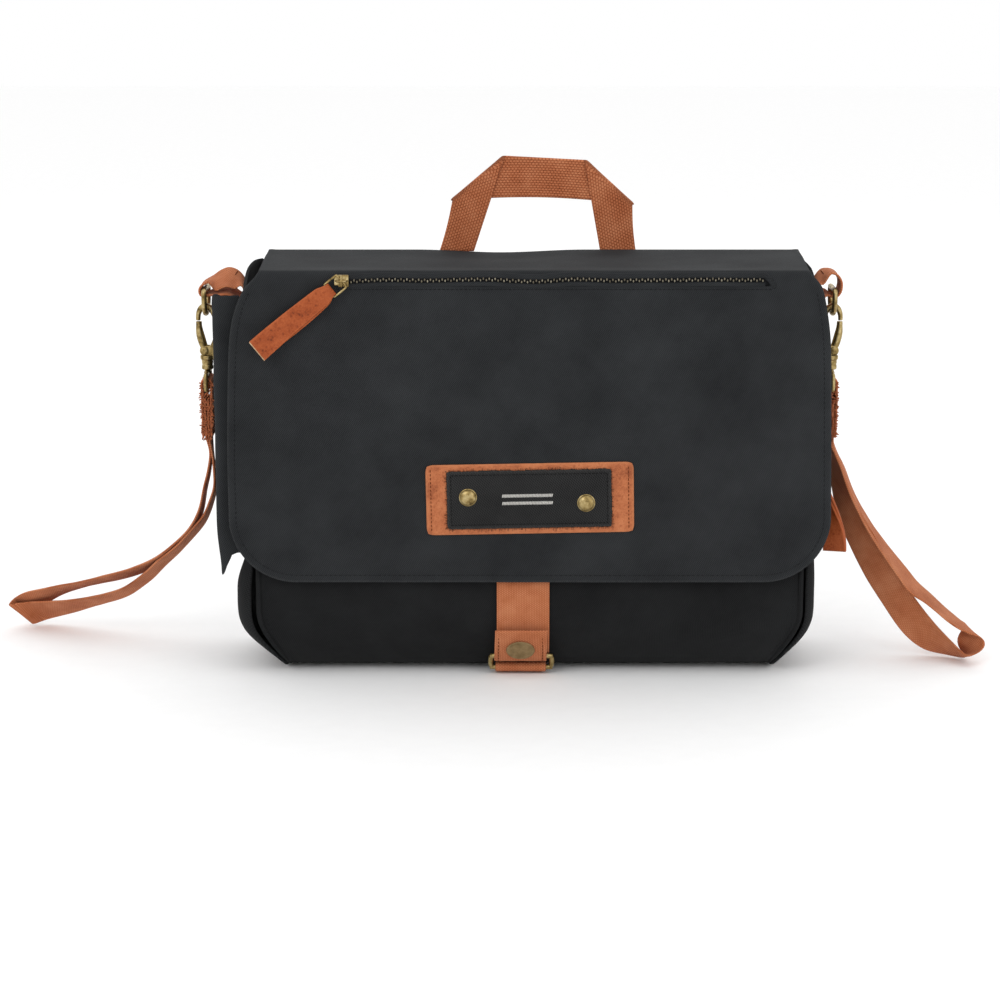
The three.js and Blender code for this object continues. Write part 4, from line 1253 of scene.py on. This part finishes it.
def patch():
    face_y = corners("leather_patch")[0].y
    plate = rounded_plate(0, PATCH_MID.z, PATCH_W, PATCH_H, 5.0, face_y, 1.2, 0.5).moved(TILT)
    settle(plate.piece("patch_plate", PATCH_LEATHER, subdivide=1), "flap_front", "patch_leather", "leather_patch")
    sewing = Data()
    for x in (-PATCH_W / 2 + 3.6, PATCH_W / 2 - 3.9):
        column = [((x, face_y - 0.12, PATCH_MID.z + z), (0, -1, 0))
                  for z in steps(-PATCH_H / 2 + 3, PATCH_H / 2 - 3, 2.0)]
        sewing.add(stitches(column, pitch=2.7, length=1.9))
    settle(sewing.moved(TILT).piece("patch_stitching", RUST_THREAD), "flap_front", "patch_leather")
    face_y = corners("canvas_label")[0].y
    cloth = rounded_plate(LABEL_X, LABEL_Z, LABEL_W, LABEL_H, 1.5, face_y, 0.6, 0.25, cell=1.5, ragged=0.7)
    settle(cloth.moved(TILT).piece("label_cloth", LABEL, subdivide=1), "flap_front", "label_canvas",
           "canvas_label")
    sewing = stitches(rectangle_path(LABEL_X, LABEL_Z, LABEL_W - 6, LABEL_H - 6, face_y - 0.12), pitch=2.6,
                      length=1.9, radius=0.26)
    rng = random.Random(5)
    for place, _ in rectangle_path(LABEL_X, LABEL_Z, LABEL_W - 0.8, LABEL_H - 0.8, face_y + 0.25, 0.9):
        reach = rng.uniform(0.5, 1.9)
        x, z = place[0] - LABEL_X, place[2] - LABEL_Z
        way = Vector((math.copysign(1, x), 0, 0) if abs(x) > LABEL_W / 2 - 1 else (0, 0, math.copysign(1, z)))
        lean = Vector((rng.uniform(-0.5, 0.5), rng.uniform(-0.3, 0.1), rng.uniform(-0.5, 0.5)))
        start = Vector(place)
        end = start + (way + lean) * reach
        sewing.add(tube([start, start.lerp(end, 0.5) + lean * 0.3, end], 0.13, sides=5, pitch=0.6))
    settle(sewing.moved(TILT).piece("label_threads", BLACK_THREAD), "flap_front", "label_canvas")
    bars = Data()
    for z in (LABEL_Z + 2.6, LABEL_Z - 2.6):
        for x in steps(-19.0, 15.0, 1.0):
            bars.add(tube([(x, face_y + 0.05, z - 1.0), (x + 0.25, face_y - 0.3, z), (x + 0.5, face_y + 0.05, z + 1.0)],
                          0.42, sides=6, pitch=0.6))
    settle(bars.moved(TILT).piece("label_plain_bars", PALE_THREAD), "flap_front", "label_canvas")
    dome = [(0, 0.4), (5.3, 0.4), (5.65, 0.75), (5.6, 1.3), (5.1, 1.9), (4.2, 2.5), (3.0, 2.95), (1.6, 3.2), (0, 3.25)]
    for node in ("rivet_left", "rivet_right"):
        r_low, r_high = corners(node)
        place = ((r_low.x + r_high.x) / 2, face_y + 0.75, (r_low.z + r_high.z) / 2)
        rivet = lathe(dome, place, (0, -1, 0), 48)
        rivet.add(lathe([(5.2, 0.35), (6.1, 0.35), (6.25, 0.6), (6.1, 0.85), (5.2, 0.9)], place, (0, -1, 0), 48))
        settle(rivet.piece(node + "_head", BRASS), "flap_front", "antique_brass", node)


patch()


# ---------------------------------------------------------------- closure strap, tail, snap, ring, anchor
WEB = 1.6              # thickness of the webbing
RING_BAR = 3.3         # from the middle of a ring's bar to the middle of the webbing folded over it
CAP_OVAL = 0.78        # the cap is pressed out of round: this much lower than it is wide
SNAP_ANGLE = 25.4      # degrees round the nose from level to the press stud
BAR_UPPER, BAR_LOWER = Vector((0, -51.1, 14.0)), Vector((0, -46.0, 4.6))
CAP = [(0, 0), (9.7, 0), (10.0, 0.35), (9.8, 0.85), (9.1, 1.2), (8.4, 1.15), (8.0, 0.95), (7.0, 1.1),
       (4.5, 1.35), (2.0, 1.5), (0, 1.52)]
SOCKET = [(2.5, 0), (5.7, 0), (6.0, 0.4), (6.0, 1.6), (5.4, 2.1), (3.2, 2.2), (2.4, 1.8), (2.5, 0)]
STUD = [(0, 0), (5.3, 0), (5.5, 0.3), (5.2, 0.75), (2.0, 0.95), (1.75, 1.4), (2.05, 2.0), (1.7, 2.45), (0, 2.6)]


def nose_point(radius, degrees, x):
    """Point round the bag's lower front edge."""
    a = math.radians(180 + degrees)
    return Vector((x, NOSE_Y + radius * math.cos(a), NOSE_R + radius * math.sin(a)))


def nose_out(degrees):
    return nose_point(1.0, degrees, 0) - nose_point(0.0, degrees, 0)


def level_pairs(line, x0, x1):
    """Edge pairs of webbing that lies level from x0 to x1, along a line of (y, z)."""
    return [(Vector((x0, y, z)), Vector((x1, y, z))) for y, z in line]


def closure():
    low, high = corners("closure_strap")
    x0, x1 = low.x + 1.2, high.x + 1.2
    radius = NOSE_R + 1.2
    pairs = level_pairs([(NOSE_Y - radius, z) for z in steps(high.z - 1, NOSE_R, 5.0)], x0, x1)
    for angle in steps(0.0, 42.5, 4.0)[1:]:
        pairs.append((nose_point(radius, angle, x0), nose_point(radius, angle, x1)))
    settle(ribbon(pairs, WEB, uneven=0.15, seed=2).piece("closure_strand", WEBBING), "flap_front", "webbing",
           "closure_strap")

    tail_r = math.hypot(BAR_UPPER.y - NOSE_Y, BAR_UPPER.z - NOSE_R) + RING_BAR
    bar_angle = math.degrees(math.atan2(NOSE_R - BAR_UPPER.z, NOSE_Y - BAR_UPPER.y))
    x0, x1 = (corner.x for corner in corners("closure_tail"))
    pairs = []
    for angle in steps(7.2, bar_angle, 3.0):
        lean = -0.9 * (angle / bar_angle) + 0.8
        lift = 0.7 * math.exp(-((angle - 8) / 6) ** 2)
        pairs.append((nose_point(tail_r + lift, angle, x0 + lean), nose_point(tail_r + lift, angle, x1 + lean)))
    for angle in (15, 30, 44):
        a = math.radians(180 + bar_angle + angle)
        centre = BAR_UPPER + Vector((0, math.cos(a), math.sin(a))) * RING_BAR
        pairs.append((centre + Vector((x0, 0, 0)), centre + Vector((x1, 0, 0))))
    settle(ribbon(pairs, WEB, uneven=0.2, seed=4).piece("closure_fold", WEBBING, subdivide=1), "closure_tail",
           "webbing", "closure_tail")
    face = tail_r + WEB / 2 + 0.15
    sewing, first, last = Data(), 9.6, 40.0
    for angle in (first, last):
        run = [(nose_point(face, angle, x), nose_out(angle)) for x in steps(x0 + 3, x1 - 3, 2.0)]
        sewing.add(stitches(run, **WEB_STITCH))
    for x in (x0 + 3, x1 - 3):
        run = [(nose_point(face, angle, x), nose_out(angle)) for angle in steps(first, last, 2.5)]
        sewing.add(stitches(run, **WEB_STITCH))
    settle(sewing.piece("closure_stitching", RUST_THREAD), "closure_tail", "webbing")

    out = nose_out(SNAP_ANGLE)
    low, high = corners("snap_cap")
    snap_x = (low.x + high.x) / 2
    flatten = Matrix.Diagonal((1.0, CAP_OVAL, CAP_OVAL, 1.0))
    place = Matrix.Translation(nose_point(face - 0.1, SNAP_ANGLE, snap_x))
    shell = lathe(CAP, Vector((0, 0, 0)), out, 56).moved(place @ flatten)
    settle(shell.piece("snap_cap_shell", MATTE_BRASS), "closure_tail", "antique_brass", "snap_cap")
    socket = lathe(SOCKET, nose_point(tail_r - WEB / 2 - 2.2, SNAP_ANGLE, snap_x), out, 40)
    settle(socket.piece("snap_socket_ring", BRASS), "closure_tail", "antique_brass", "snap_socket")
    stud = lathe(STUD, nose_point(radius + WEB / 2, SNAP_ANGLE, snap_x), out, 40)
    settle(stud.piece("snap_stud_post", BRASS), "flap_front", "antique_brass", "snap_stud")

    low, high = corners("closure_ring")
    x0, x1 = low.x + 1.5, high.x - 1.5
    rise = [(0.08, 0.6), (0.3, 0), (0.7, 0), (0.92, 0.6)]       # (share of the way down, inset) of a short side
    loop = [(x0 + 3, 0), (x1 - 3, 0)] + [(x1 - inset, t) for t, inset in rise]
    loop += [(x1 - 3, 1), (x0 + 3, 1)] + [(x0 + inset, t) for t, inset in reversed(rise)]
    wire = tube([(x, *BAR_UPPER.lerp(BAR_LOWER, t).yz) for x, t in loop], 1.8, closed=True,
                across=(BAR_LOWER - BAR_UPPER).cross(Vector((1, 0, 0))), sides=16, pitch=0.9)
    settle(wire.piece("closure_ring_wire", BRASS), "closure_ring", "antique_brass", "closure_ring")

    low, high = corners("ring_anchor")
    line = [(-33.5, 1.1), (-40, 1.2), (-46, 1.9), (-48.1, 3.2), (-48.8, 5.2), (-47.6, 7.0), (-45.4, 7.5),
            (-42.5, 6.4), (-37.5, 5.0), (-34, 3.4)]
    rows = path_through([(y, z, 0.0) for y, z in line], 1.2)
    pairs = level_pairs([(y, z) for y, z, _ in rows], low.x, high.x)
    settle(ribbon(pairs, 1.3, uneven=0.1).piece("ring_anchor_loop", WEBBING), "bag", "webbing", "ring_anchor")


closure()


# ---------------------------------------------------------------- carrying handle
HANDLE_FEET = (((-64.4, 285.2), (-39.4, 285.2)), ((77.2, 285.2), (51.3, 285.2)))     # outer and inner (x, z)
HANDLE_FOLDS = (((-55, 322), (-17, 354)), ((74.5, 319), (39.5, 351)))
HANDLE_ENDS = (("left", -64, -39), ("right", 51.5, 77))
END_LINE = [(58.1, 238.5), (58.2, 250), (58.2, 264), (58.3, 274), (58.8, 278), (59.4, 281), (59.5, 284.6)]


def handle():
    """Webbing folded twice into a handle: two legs in front, the grip behind them."""
    low = corners("handle")[0]
    y_front, y_back = low.y + 0.9, low.y + 2.7

    def leg(foot, fold):
        spots = []
        for t in shares(16):
            outer = Vector(foot[0]).lerp(Vector(fold[0]), t)
            inner_ = Vector(foot[1]).lerp(Vector(fold[1]), t)
            bow = math.copysign(0.72 * math.sin(math.pi * t), -outer.x)
            spots.append((Vector((outer.x + bow, y_front, outer.y)), Vector((inner_.x, y_front, inner_.y))))
        return spots

    def turn(fold):
        away = Vector((fold[0][0] - 10, fold[0][1] - 330)).normalized()
        spots = []
        for k in range(1, 6):
            a = math.pi * k / 6
            y = lerp(y_front, y_back, (1 - math.cos(a)) / 2)
            bulge = 1.05 * math.sin(a)
            spots.append(tuple(Vector((p[0] + away.x * bulge, y, p[1] + away.y * bulge)) for p in fold))
        return spots
    left, right = (leg(foot, fold) + turn(fold) for foot, fold in zip(HANDLE_FEET, HANDLE_FOLDS))
    grip = []
    ends = list(zip(*HANDLE_FOLDS))
    for t in shares(26):
        lower, upper = (Vector(a).lerp(Vector(b), t) for a, b in ends)
        crown = 3.4 * math.sin(math.pi * t)
        grip.append((Vector((lower.x, y_back, lower.y + crown)), Vector((upper.x, y_back, upper.y))))
    data = ribbon(left + grip + right[::-1], 1.7, uneven=0.3, seed=6)
    settle(data.piece("handle_webbing", HANDLE_WEBBING, subdivide=1), "handle", "webbing", "handle")
    line = [(y, z) for y, z, _ in path_through([(y, z, 0.0) for y, z in END_LINE], 2.2)]
    face = 58.2 + WEB / 2 + 0.12
    for side, x0, x1 in HANDLE_ENDS:
        name = f"handle_foot_{side}"
        strip = ribbon(level_pairs(line, x0, x1), WEB, uneven=0.15, seed=8, start=-52)
        settle(strip.piece(name, HANDLE_WEBBING), "bag", "webbing", f"handle_end_{side}")
        box = [(x0 + 3, 242), (x1 - 3, 242), (x1 - 3, 268), (x0 + 3, 268), (x0 + 3, 242)]
        sewing = Data()
        for (ax, az), (bx, bz) in list(zip(box, box[1:])) + [(box[0], box[2]), (box[1], box[3])]:
            run = [((lerp(ax, bx, t), face, lerp(az, bz, t)), (0, 1, 0)) for t in shares(10)]
            sewing.add(stitches(run, **WEB_STITCH))
        settle(sewing.piece(name + "_stitching", RUST_THREAD), "bag", "webbing")


handle()


def rear_seam():
    """Rolled seam that joins the flap's rear edge to the back panel."""
    path = [(x, BACK_Y - 0.7, FLAP_TOP - 2.2 + lie_relief(x, REAR_Y)) for x in steps(-186.0, 192.0, 6.0)]
    data = tube(path, 1.9, sides=12, pitch=3.0)
    settle(data.piece("rear_seam_roll", CANVAS), "bag", "canvas")


rear_seam()


# ---------------------------------------------------------------- hanging chain on each side
TAB_LINES = {
    "left": [(-200.2, 260), (-200.8, 266.5), (-204, 272.5), (-208.5, 275.6), (-214, 276.5), (-221.5, 273),
             (-229.5, 268.6), (-232, 265), (-231.2, 261.4), (-228.2, 260.4), (-223, 262.3), (-213, 264), (-205, 259.5)],
    "right": [(200.2, 260), (200.6, 266), (203.5, 272), (207.5, 275.8), (212, 277), (216.5, 275.2),
              (219.3, 270.5), (219.2, 264.8), (217, 261), (213.5, 260), (208.5, 262), (204.5, 258.5)],
}
TAB_DROP = {"left": 9.5, "right": 7.0}      # how far the front edge of the tab sags below its back edge
TAB_SEAM = {"left": 275.4, "right": 276.0}
# both edges of each loop, the near one and then the far one, from one end of the webbing to the other
STRAP_LINES = {
    "left": [
        (-229.5, 2.5, 187, -229.5, 27.5, 187), (-229.5, 2.5, 172, -229.5, 27.5, 172),
        (-229.5, 2.5, 161, -229.5, 27.5, 161), (-226.8, 2.8, 149.1, -228.3, 27.2, 144.1),
        (-228.6, 3.3, 136, -229.4, 27.7, 130.4), (-232.2, 4.9, 122.6, -232.7, 29.1, 116.1),
        (-236.1, 8, 106.6, -235.9, 32, 99.6), (-243.3, 12.3, 92.4, -241.7, 35.7, 83.6),
        (-255.7, 18.3, 78.9, -255.4, 41.7, 70.3), (-270.6, 25.8, 67, -269.2, 48.2, 56.1),
        (-286.1, 32.7, 58.3, -286.1, 55.3, 47.8), (-305.7, 41.6, 50.5, -307, 64.4, 40.2),
        (-325.5, 50.5, 43.6, -327.6, 73.5, 34), (-343.7, 58.9, 38.4, -344.7, 81.1, 27),
        (-359.7, 66.9, 33.5, -357.9, 87.1, 18.8), (-374.2, 74.9, 28.5, -368.1, 91.1, 10.4),
        (-384.4, 82.2, 21.8, -371.9, 93.8, 3.4), (-387.2, 75.6, 18.3, -370.4, 84.4, 1.8),
        (-382, 76.8, 19.8, -368, 87.2, 1.9), (-372, 78.6, 20.6, -361.2, 93.4, 3.4),
        (-358.5, 73.1, 22.4, -350.1, 90.9, 7), (-343.5, 65.9, 24.8, -337, 86.1, 11.5),
        (-327.6, 58.1, 28.4, -324.7, 79.9, 16.5), (-311.6, 49.9, 33.8, -310.1, 72.1, 22.6),
        (-295.7, 41.8, 40.7, -294, 64.2, 29.9), (-279.7, 32.7, 53.5, -278.1, 55.3, 42.7),
        (-268.9, 26.2, 64.3, -267.7, 48.8, 53.6), (-254.2, 18.8, 77, -253.5, 42.2, 68.4),
        (-239.7, 12.7, 93.7, -238.8, 36.3, 85.3), (-233.5, 10.1, 100.9, -233.3, 33.9, 93.3),
        (-228.8, 7.5, 111.1, -228.8, 31.5, 104.1), (-224.7, 4.9, 123.3, -225.4, 29.1, 117.2),
        (-224.3, 3.3, 136, -225.4, 27.7, 130.4), (-225.4, 2.8, 149.1, -226.9, 27.2, 144.1),
        (-227.5, 2.5, 161, -227.5, 27.5, 161), (-227.5, 2.5, 172, -227.5, 27.5, 172),
        (-227.5, 2.5, 187, -227.5, 27.5, 187)],
    "right": [
        (215.5, 2.5, 187, 215.5, 27.5, 187), (215.5, 2.5, 172, 215.5, 27.5, 172),
        (215.5, 2.5, 161, 215.5, 27.5, 161), (216.4, 2.9, 150.6, 220.6, 27.1, 145.9),
        (221.6, 2.4, 137.6, 226.6, 26.6, 133.6), (230.4, 1.9, 114.5, 236.1, 26.1, 111.1),
        (240.8, 1.1, 94.3, 248, 24.9, 91.8), (251.1, -0.5, 77.8, 260.4, 22.5, 75.3),
        (262, -2.4, 62.8, 272, 20.4, 61.7), (272.7, -4.7, 48.2, 280.9, 18.7, 50.7),
        (282.4, -7.9, 42.2, 290.2, 15.9, 42.4), (291.5, -11.1, 35.5, 297.9, 13.1, 35.3),
        (299.7, -14.3, 28.8, 303.9, 10.3, 30.3), (307, -17.4, 24.4, 307.7, 7.4, 27.5),
        (313.5, -20.4, 22.1, 311.1, 4.4, 24.8), (319.7, -23.1, 20.5, 314.2, 1.1, 23.1),
        (323.1, -23.8, 19, 310.6, -2.2, 19.3), (324.7, -22.9, 15.5, 307, -5.1, 14.5),
        (323.9, -24, 12.3, 308.2, -5, 8.8), (320.2, -25.9, 9.5, 311.4, -3.1, 4.1),
        (314.8, -27, 7.9, 313.6, -3, 1.2), (309.9, -30.9, 8.6, 311.5, -7.1, 1.2),
        (304.8, -20.9, 12.5, 300.3, 0.9, 1.3), (296.7, -9.5, 19.9, 284.6, 5.5, 4.1),
        (286.9, -1.3, 30.4, 270.3, 9.3, 15), (273.3, 1.9, 48.3, 255.8, 14.1, 35.2),
        (260.1, 4.3, 67.3, 243.4, 17.7, 54.4), (248.3, 4.6, 86.3, 233, 20.4, 74.5),
        (237.2, 4.8, 104.7, 224.1, 23.2, 93.8), (228.6, 4.1, 122.1, 219.5, 25.9, 113.8),
        (221.3, 3.8, 142.5, 215.9, 27.2, 135.6), (216, 2.8, 150.6, 214.6, 27.2, 145.1),
        (213.5, 2.5, 161, 213.5, 27.5, 161), (213.5, 2.5, 172, 213.5, 27.5, 172),
        (213.5, 2.5, 187, 213.5, 27.5, 187)],
}
WEB_WIDTH = 25.0
PIVOT_OUT, PIVOT_Z = 1.5, 220.5             # of the gate's pin
EYE_TOP, EYE_MID, EYE_BOTTOM = 204.6, 199.3, 194.0
FRAY_COUNT = 420       # loose fibres along each edge of the folded webbing


def chain(side):
    """Tab, D-ring, snap hook, swivel eye and webbing loop of one side."""
    sign = -1 if side == "left" else 1
    low, high = corners(f"{side}_d_ring")
    x, y = (low.x + high.x) / 2, (low.y + high.y) / 2

    def spot(outward, height, depth=0.0):
        return x + sign * outward, y + depth, height

    def name(word):
        return f"{side}_{word}"

    line = path_through([(a, 0.0, b) for a, b in TAB_LINES[side]], 1.6, closed=True)
    pairs = []
    for a, _, b in line:
        hump = smooth(200, 208, abs(a)) * (1 - smooth(abs(x) - 9, abs(x) - 2, abs(a)))
        drop = lerp(2.0, TAB_DROP[side], smooth(263, 270, b)) * hump
        reach = math.sqrt(WEB_WIDTH ** 2 - (drop + 1.5 * hump) ** 2) / 2
        pairs.append((Vector((a, y - reach, b - drop)), Vector((a, y + reach, b + 1.5 * hump))))
    tab = ribbon(pairs, WEB, uneven=0.12, seed=sign + 5, closed=True)
    settle(tab.piece(name("tab_loop"), WEBBING), "bag", "webbing", name("tab"))

    half = [(14.8, 259), (13.9, 254.5), (10.6, 250.2), (5.4, 247.8), (0, 247.3)]
    bow = [(-12.6, 264.5), (0, 264.6), (12.6, 264.5), (14.5, 263.6)] + half + [(-a, b) for a, b in half[-2::-1]]
    bow.append((-14.5, 263.6))
    ring = tube([(x, y + a, b) for a, b in bow], 1.9, closed=True, across=(1, 0, 0), sides=18, pitch=0.9)
    settle(ring.piece(name("d_ring_wire"), BRASS), f"{side}_ring", "antique_brass", name("d_ring"))

    def plate(out_0, out_1, y0, y1, z0):
        x0, x1 = sorted((spot(out_0, 0)[0], spot(out_1, 0)[0]))
        return block((x0, y0, z0), (x1, y1, 224))

    line = [(-3.4, 219), (-4.6, 223.5), (-6.2, 227.5), (-7.3, 233), (-7.2, 240), (-5.4, 246.6), (-2.4, 250.9),
            (1.2, 251.9), (4.2, 249.9), (5.7, 246.0), (5.9, 241.9)]
    parts = [tube([spot(*p) for p in line], 2.05, across=(0, 1, 0), sides=16, squash=0.95, pitch=0.8,
                  taper=lambda t: 1.16 - 0.3 * smooth(0.75, 1.0, t))]
    for depth in (-2.5, 2.5):
        parts.append(lathe([(0, -0.6), (3.6, -0.6), (3.6, 0.6), (0, 0.6)], spot(PIVOT_OUT, PIVOT_Z, depth),
                           (0, 1, 0), 24))
        parts.append(plate(-5.5, PIVOT_OUT, y + depth - 0.6, y + depth + 0.6, 215))
    parts.append(plate(-5.5, -1.8, y - 3.1, y + 3.1, 214))
    parts.append(lathe([(0, 213.9), (4.6, 213.9), (5.0, 214.6), (5.0, 216.4), (4.4, 217.2), (0, 217.2)],
                       (x, y, 0), (0, 0, 1), 32))
    parts.append(lathe([(2.5, 206.8), (3.6, 206.8), (4.1, 207.5), (4.1, 209.5), (3.7, 210.4), (4.1, 211.4),
                        (4.1, 214.5), (0, 214.6), (0, 213.2), (3.1, 213.0), (3.1, 209.4), (2.5, 209.2),
                        (2.5, 206.8)], (x, y, 0), (0, 0, 1), 32))
    settle(cast(name("hook_casting"), parts, BRASS), f"{side}_hook", "antique_brass", name("hook_body"))

    half = [(2.6, 3.8), (2.6, 3.45), (1.2, 3.35)]
    pin = [(0, -4.0), (2.3, -4.0)] + [(a, -b) for a, b in half] + half[::-1] + [(2.3, 4.0), (0, 4.0)]
    settle(lathe(pin, spot(PIVOT_OUT, PIVOT_Z), (0, 1, 0), 32).piece(name("pin_rivet"), BRASS), f"{side}_hook",
           "antique_brass", name("gate_pin"))

    line = [(1.5, 221.0), (2.1, 223.0), (3.3, 226.5), (4.6, 231.5), (5.3, 236), (5.5, 241.2)]
    gate = tube([spot(*p) for p in line], 2.2, across=(0, 1, 0), sides=16, pitch=0.7,
                taper=lambda t: 1.15 + 0.3 * math.sin(math.pi * min(t * 1.15, 1.0)) - 0.2 * t)
    knuckle = lathe([(1.35, -1.4), (2.8, -1.4), (2.9, 0), (2.8, 1.4), (1.35, 1.4), (1.35, -1.4)],
                    spot(PIVOT_OUT, PIVOT_Z), (0, 1, 0), 28)
    thumb = tube([spot(6.3, 232.5, -1.9), spot(6.6, 232.5, 0.0), spot(6.3, 232.5, 1.9)], 0.9, sides=10, pitch=0.5)
    settle(cast(name("gate_lever"), [gate, knuckle, thumb], BRASS, voxel=0.26, rounds=3), f"{side}_gate",
           "antique_brass", name("hook_gate"))

    bow = [(-12.2, EYE_TOP), (0, EYE_TOP), (12.2, EYE_TOP), (14.2, EYE_TOP - 1.0), (14.7, EYE_MID),
           (14.2, EYE_BOTTOM + 1.0), (12.2, EYE_BOTTOM), (0, EYE_BOTTOM), (-12.2, EYE_BOTTOM),
           (-14.2, EYE_BOTTOM + 1.0), (-14.7, EYE_MID), (-14.2, EYE_TOP - 1.0)]
    eye = tube([(x, y + a, b) for a, b in bow], 1.7, closed=True, across=(1, 0, 0), sides=14, pitch=0.9)
    stem = lathe([(0, 203.8), (2.9, 204.2), (2.0, 206.2), (2.0, 209.7), (2.9, 209.8), (2.9, 211.8), (0, 211.9)],
                 (x, y, 0), (0, 0, 1), 24)
    settle(cast(name("swivel_bow"), [eye, stem], BRASS, voxel=0.3), f"{side}_eye", "antique_brass",
           name("swivel_eye"))

    crown = EYE_BOTTOM + 4.6
    rise = [(lerp(2.95, 3.3, smooth(160, 190, z)), z) for z in steps(159.0, crown - 1, 3.0)]
    hairpin = [(x - a, z) for a, z in rise]
    hairpin += [(x - 3.3 * math.cos(a), crown + 3.3 * math.sin(a)) for a in steps(0, math.pi, 0.35)]
    hairpin += [(x + a, z) for a, z in reversed(rise)]
    pairs = [(Vector((a, y - WEB_WIDTH / 2, z)), Vector((a, y + WEB_WIDTH / 2, z))) for a, z in hairpin]
    fold = ribbon(pairs, 1.65, uneven=0.3, seed=9 + sign)
    settle(fold.piece(name("strap_wrap"), FUZZ, subdivide=1), f"{side}_webbing", "webbing", name("strap_fold"))
    rng = random.Random(20 + sign)
    fray = Data()
    for edge in (-1, 1):
        for _ in range(FRAY_COUNT):
            z = rng.uniform(158.5, crown + 1)
            across = rng.uniform(-1, 1) * lerp(3.6, 4.2, smooth(158, 180, z))
            start = Vector((x + across, y + edge * (WEB_WIDTH / 2 - 0.5), z))
            way = Vector((across * 0.16 + rng.uniform(-0.5, 0.5), edge * rng.uniform(0.5, 1.0),
                          rng.uniform(-0.9, 0.4)))
            bend = Vector((rng.uniform(-0.4, 0.4), 0, rng.uniform(-0.4, 0.4)))
            reach = rng.uniform(0.6, 1.5)
            fray.add(tube([start, start + way * reach * 0.5 + bend, start + way * reach], 0.44, sides=5, pitch=0.8))
    settle(fray.piece(name("strap_fray"), FUZZ), f"{side}_webbing", "webbing")
    pairs = [(Vector(row[:3]), Vector(row[3:])) for row in path_through(STRAP_LINES[side], 4.0)]
    loop = ribbon(pairs, WEB, uneven=0.35, seed=12 + sign)
    settle(loop.piece(name("strap_webbing"), WEBBING, subdivide=1), f"{side}_webbing", "webbing", name("strap"))
    sewing = Data()
    for face in (-1, 1):
        for z in (162.5, 186.0):
            run = [((x + face * 4.1, y + d, z), (face, 0, 0)) for d in steps(-9.5, 9.5, 2.0)]
            sewing.add(stitches(run, lift=0.25, **WEB_STITCH))
    settle(sewing.piece(name("strap_stitching"), RUST_THREAD), f"{side}_webbing", "webbing")
    run = [((sign * 206.6, y + d, TAB_SEAM[side]), (sign * 0.4, 0, 0.9)) for d in steps(-10.0, 10.0, 2.0)]
    sewing = stitches(run, lift=0.3, **WEB_STITCH)
    settle(sewing.piece(name("tab_stitching"), RUST_THREAD), "bag", "webbing")


chain("left")
chain("right")


# ---------------------------------------------------------------- floor
FLOOR_REACH, FLOOR_Z = 6.0, -0.0005         # metres


def floor():
    mesh = bpy.data.meshes.new("floor")
    signs = ((-1, -1), (1, -1), (1, 1), (-1, 1))
    mesh.from_pydata([(a * FLOOR_REACH, b * FLOOR_REACH, FLOOR_Z) for a, b in signs], [], [(0, 1, 2, 3)])
    mesh.materials.append(floor_finish())
    ground = bpy.data.objects.new("floor", mesh)
    bpy.context.scene.collection.objects.link(ground)


floor()
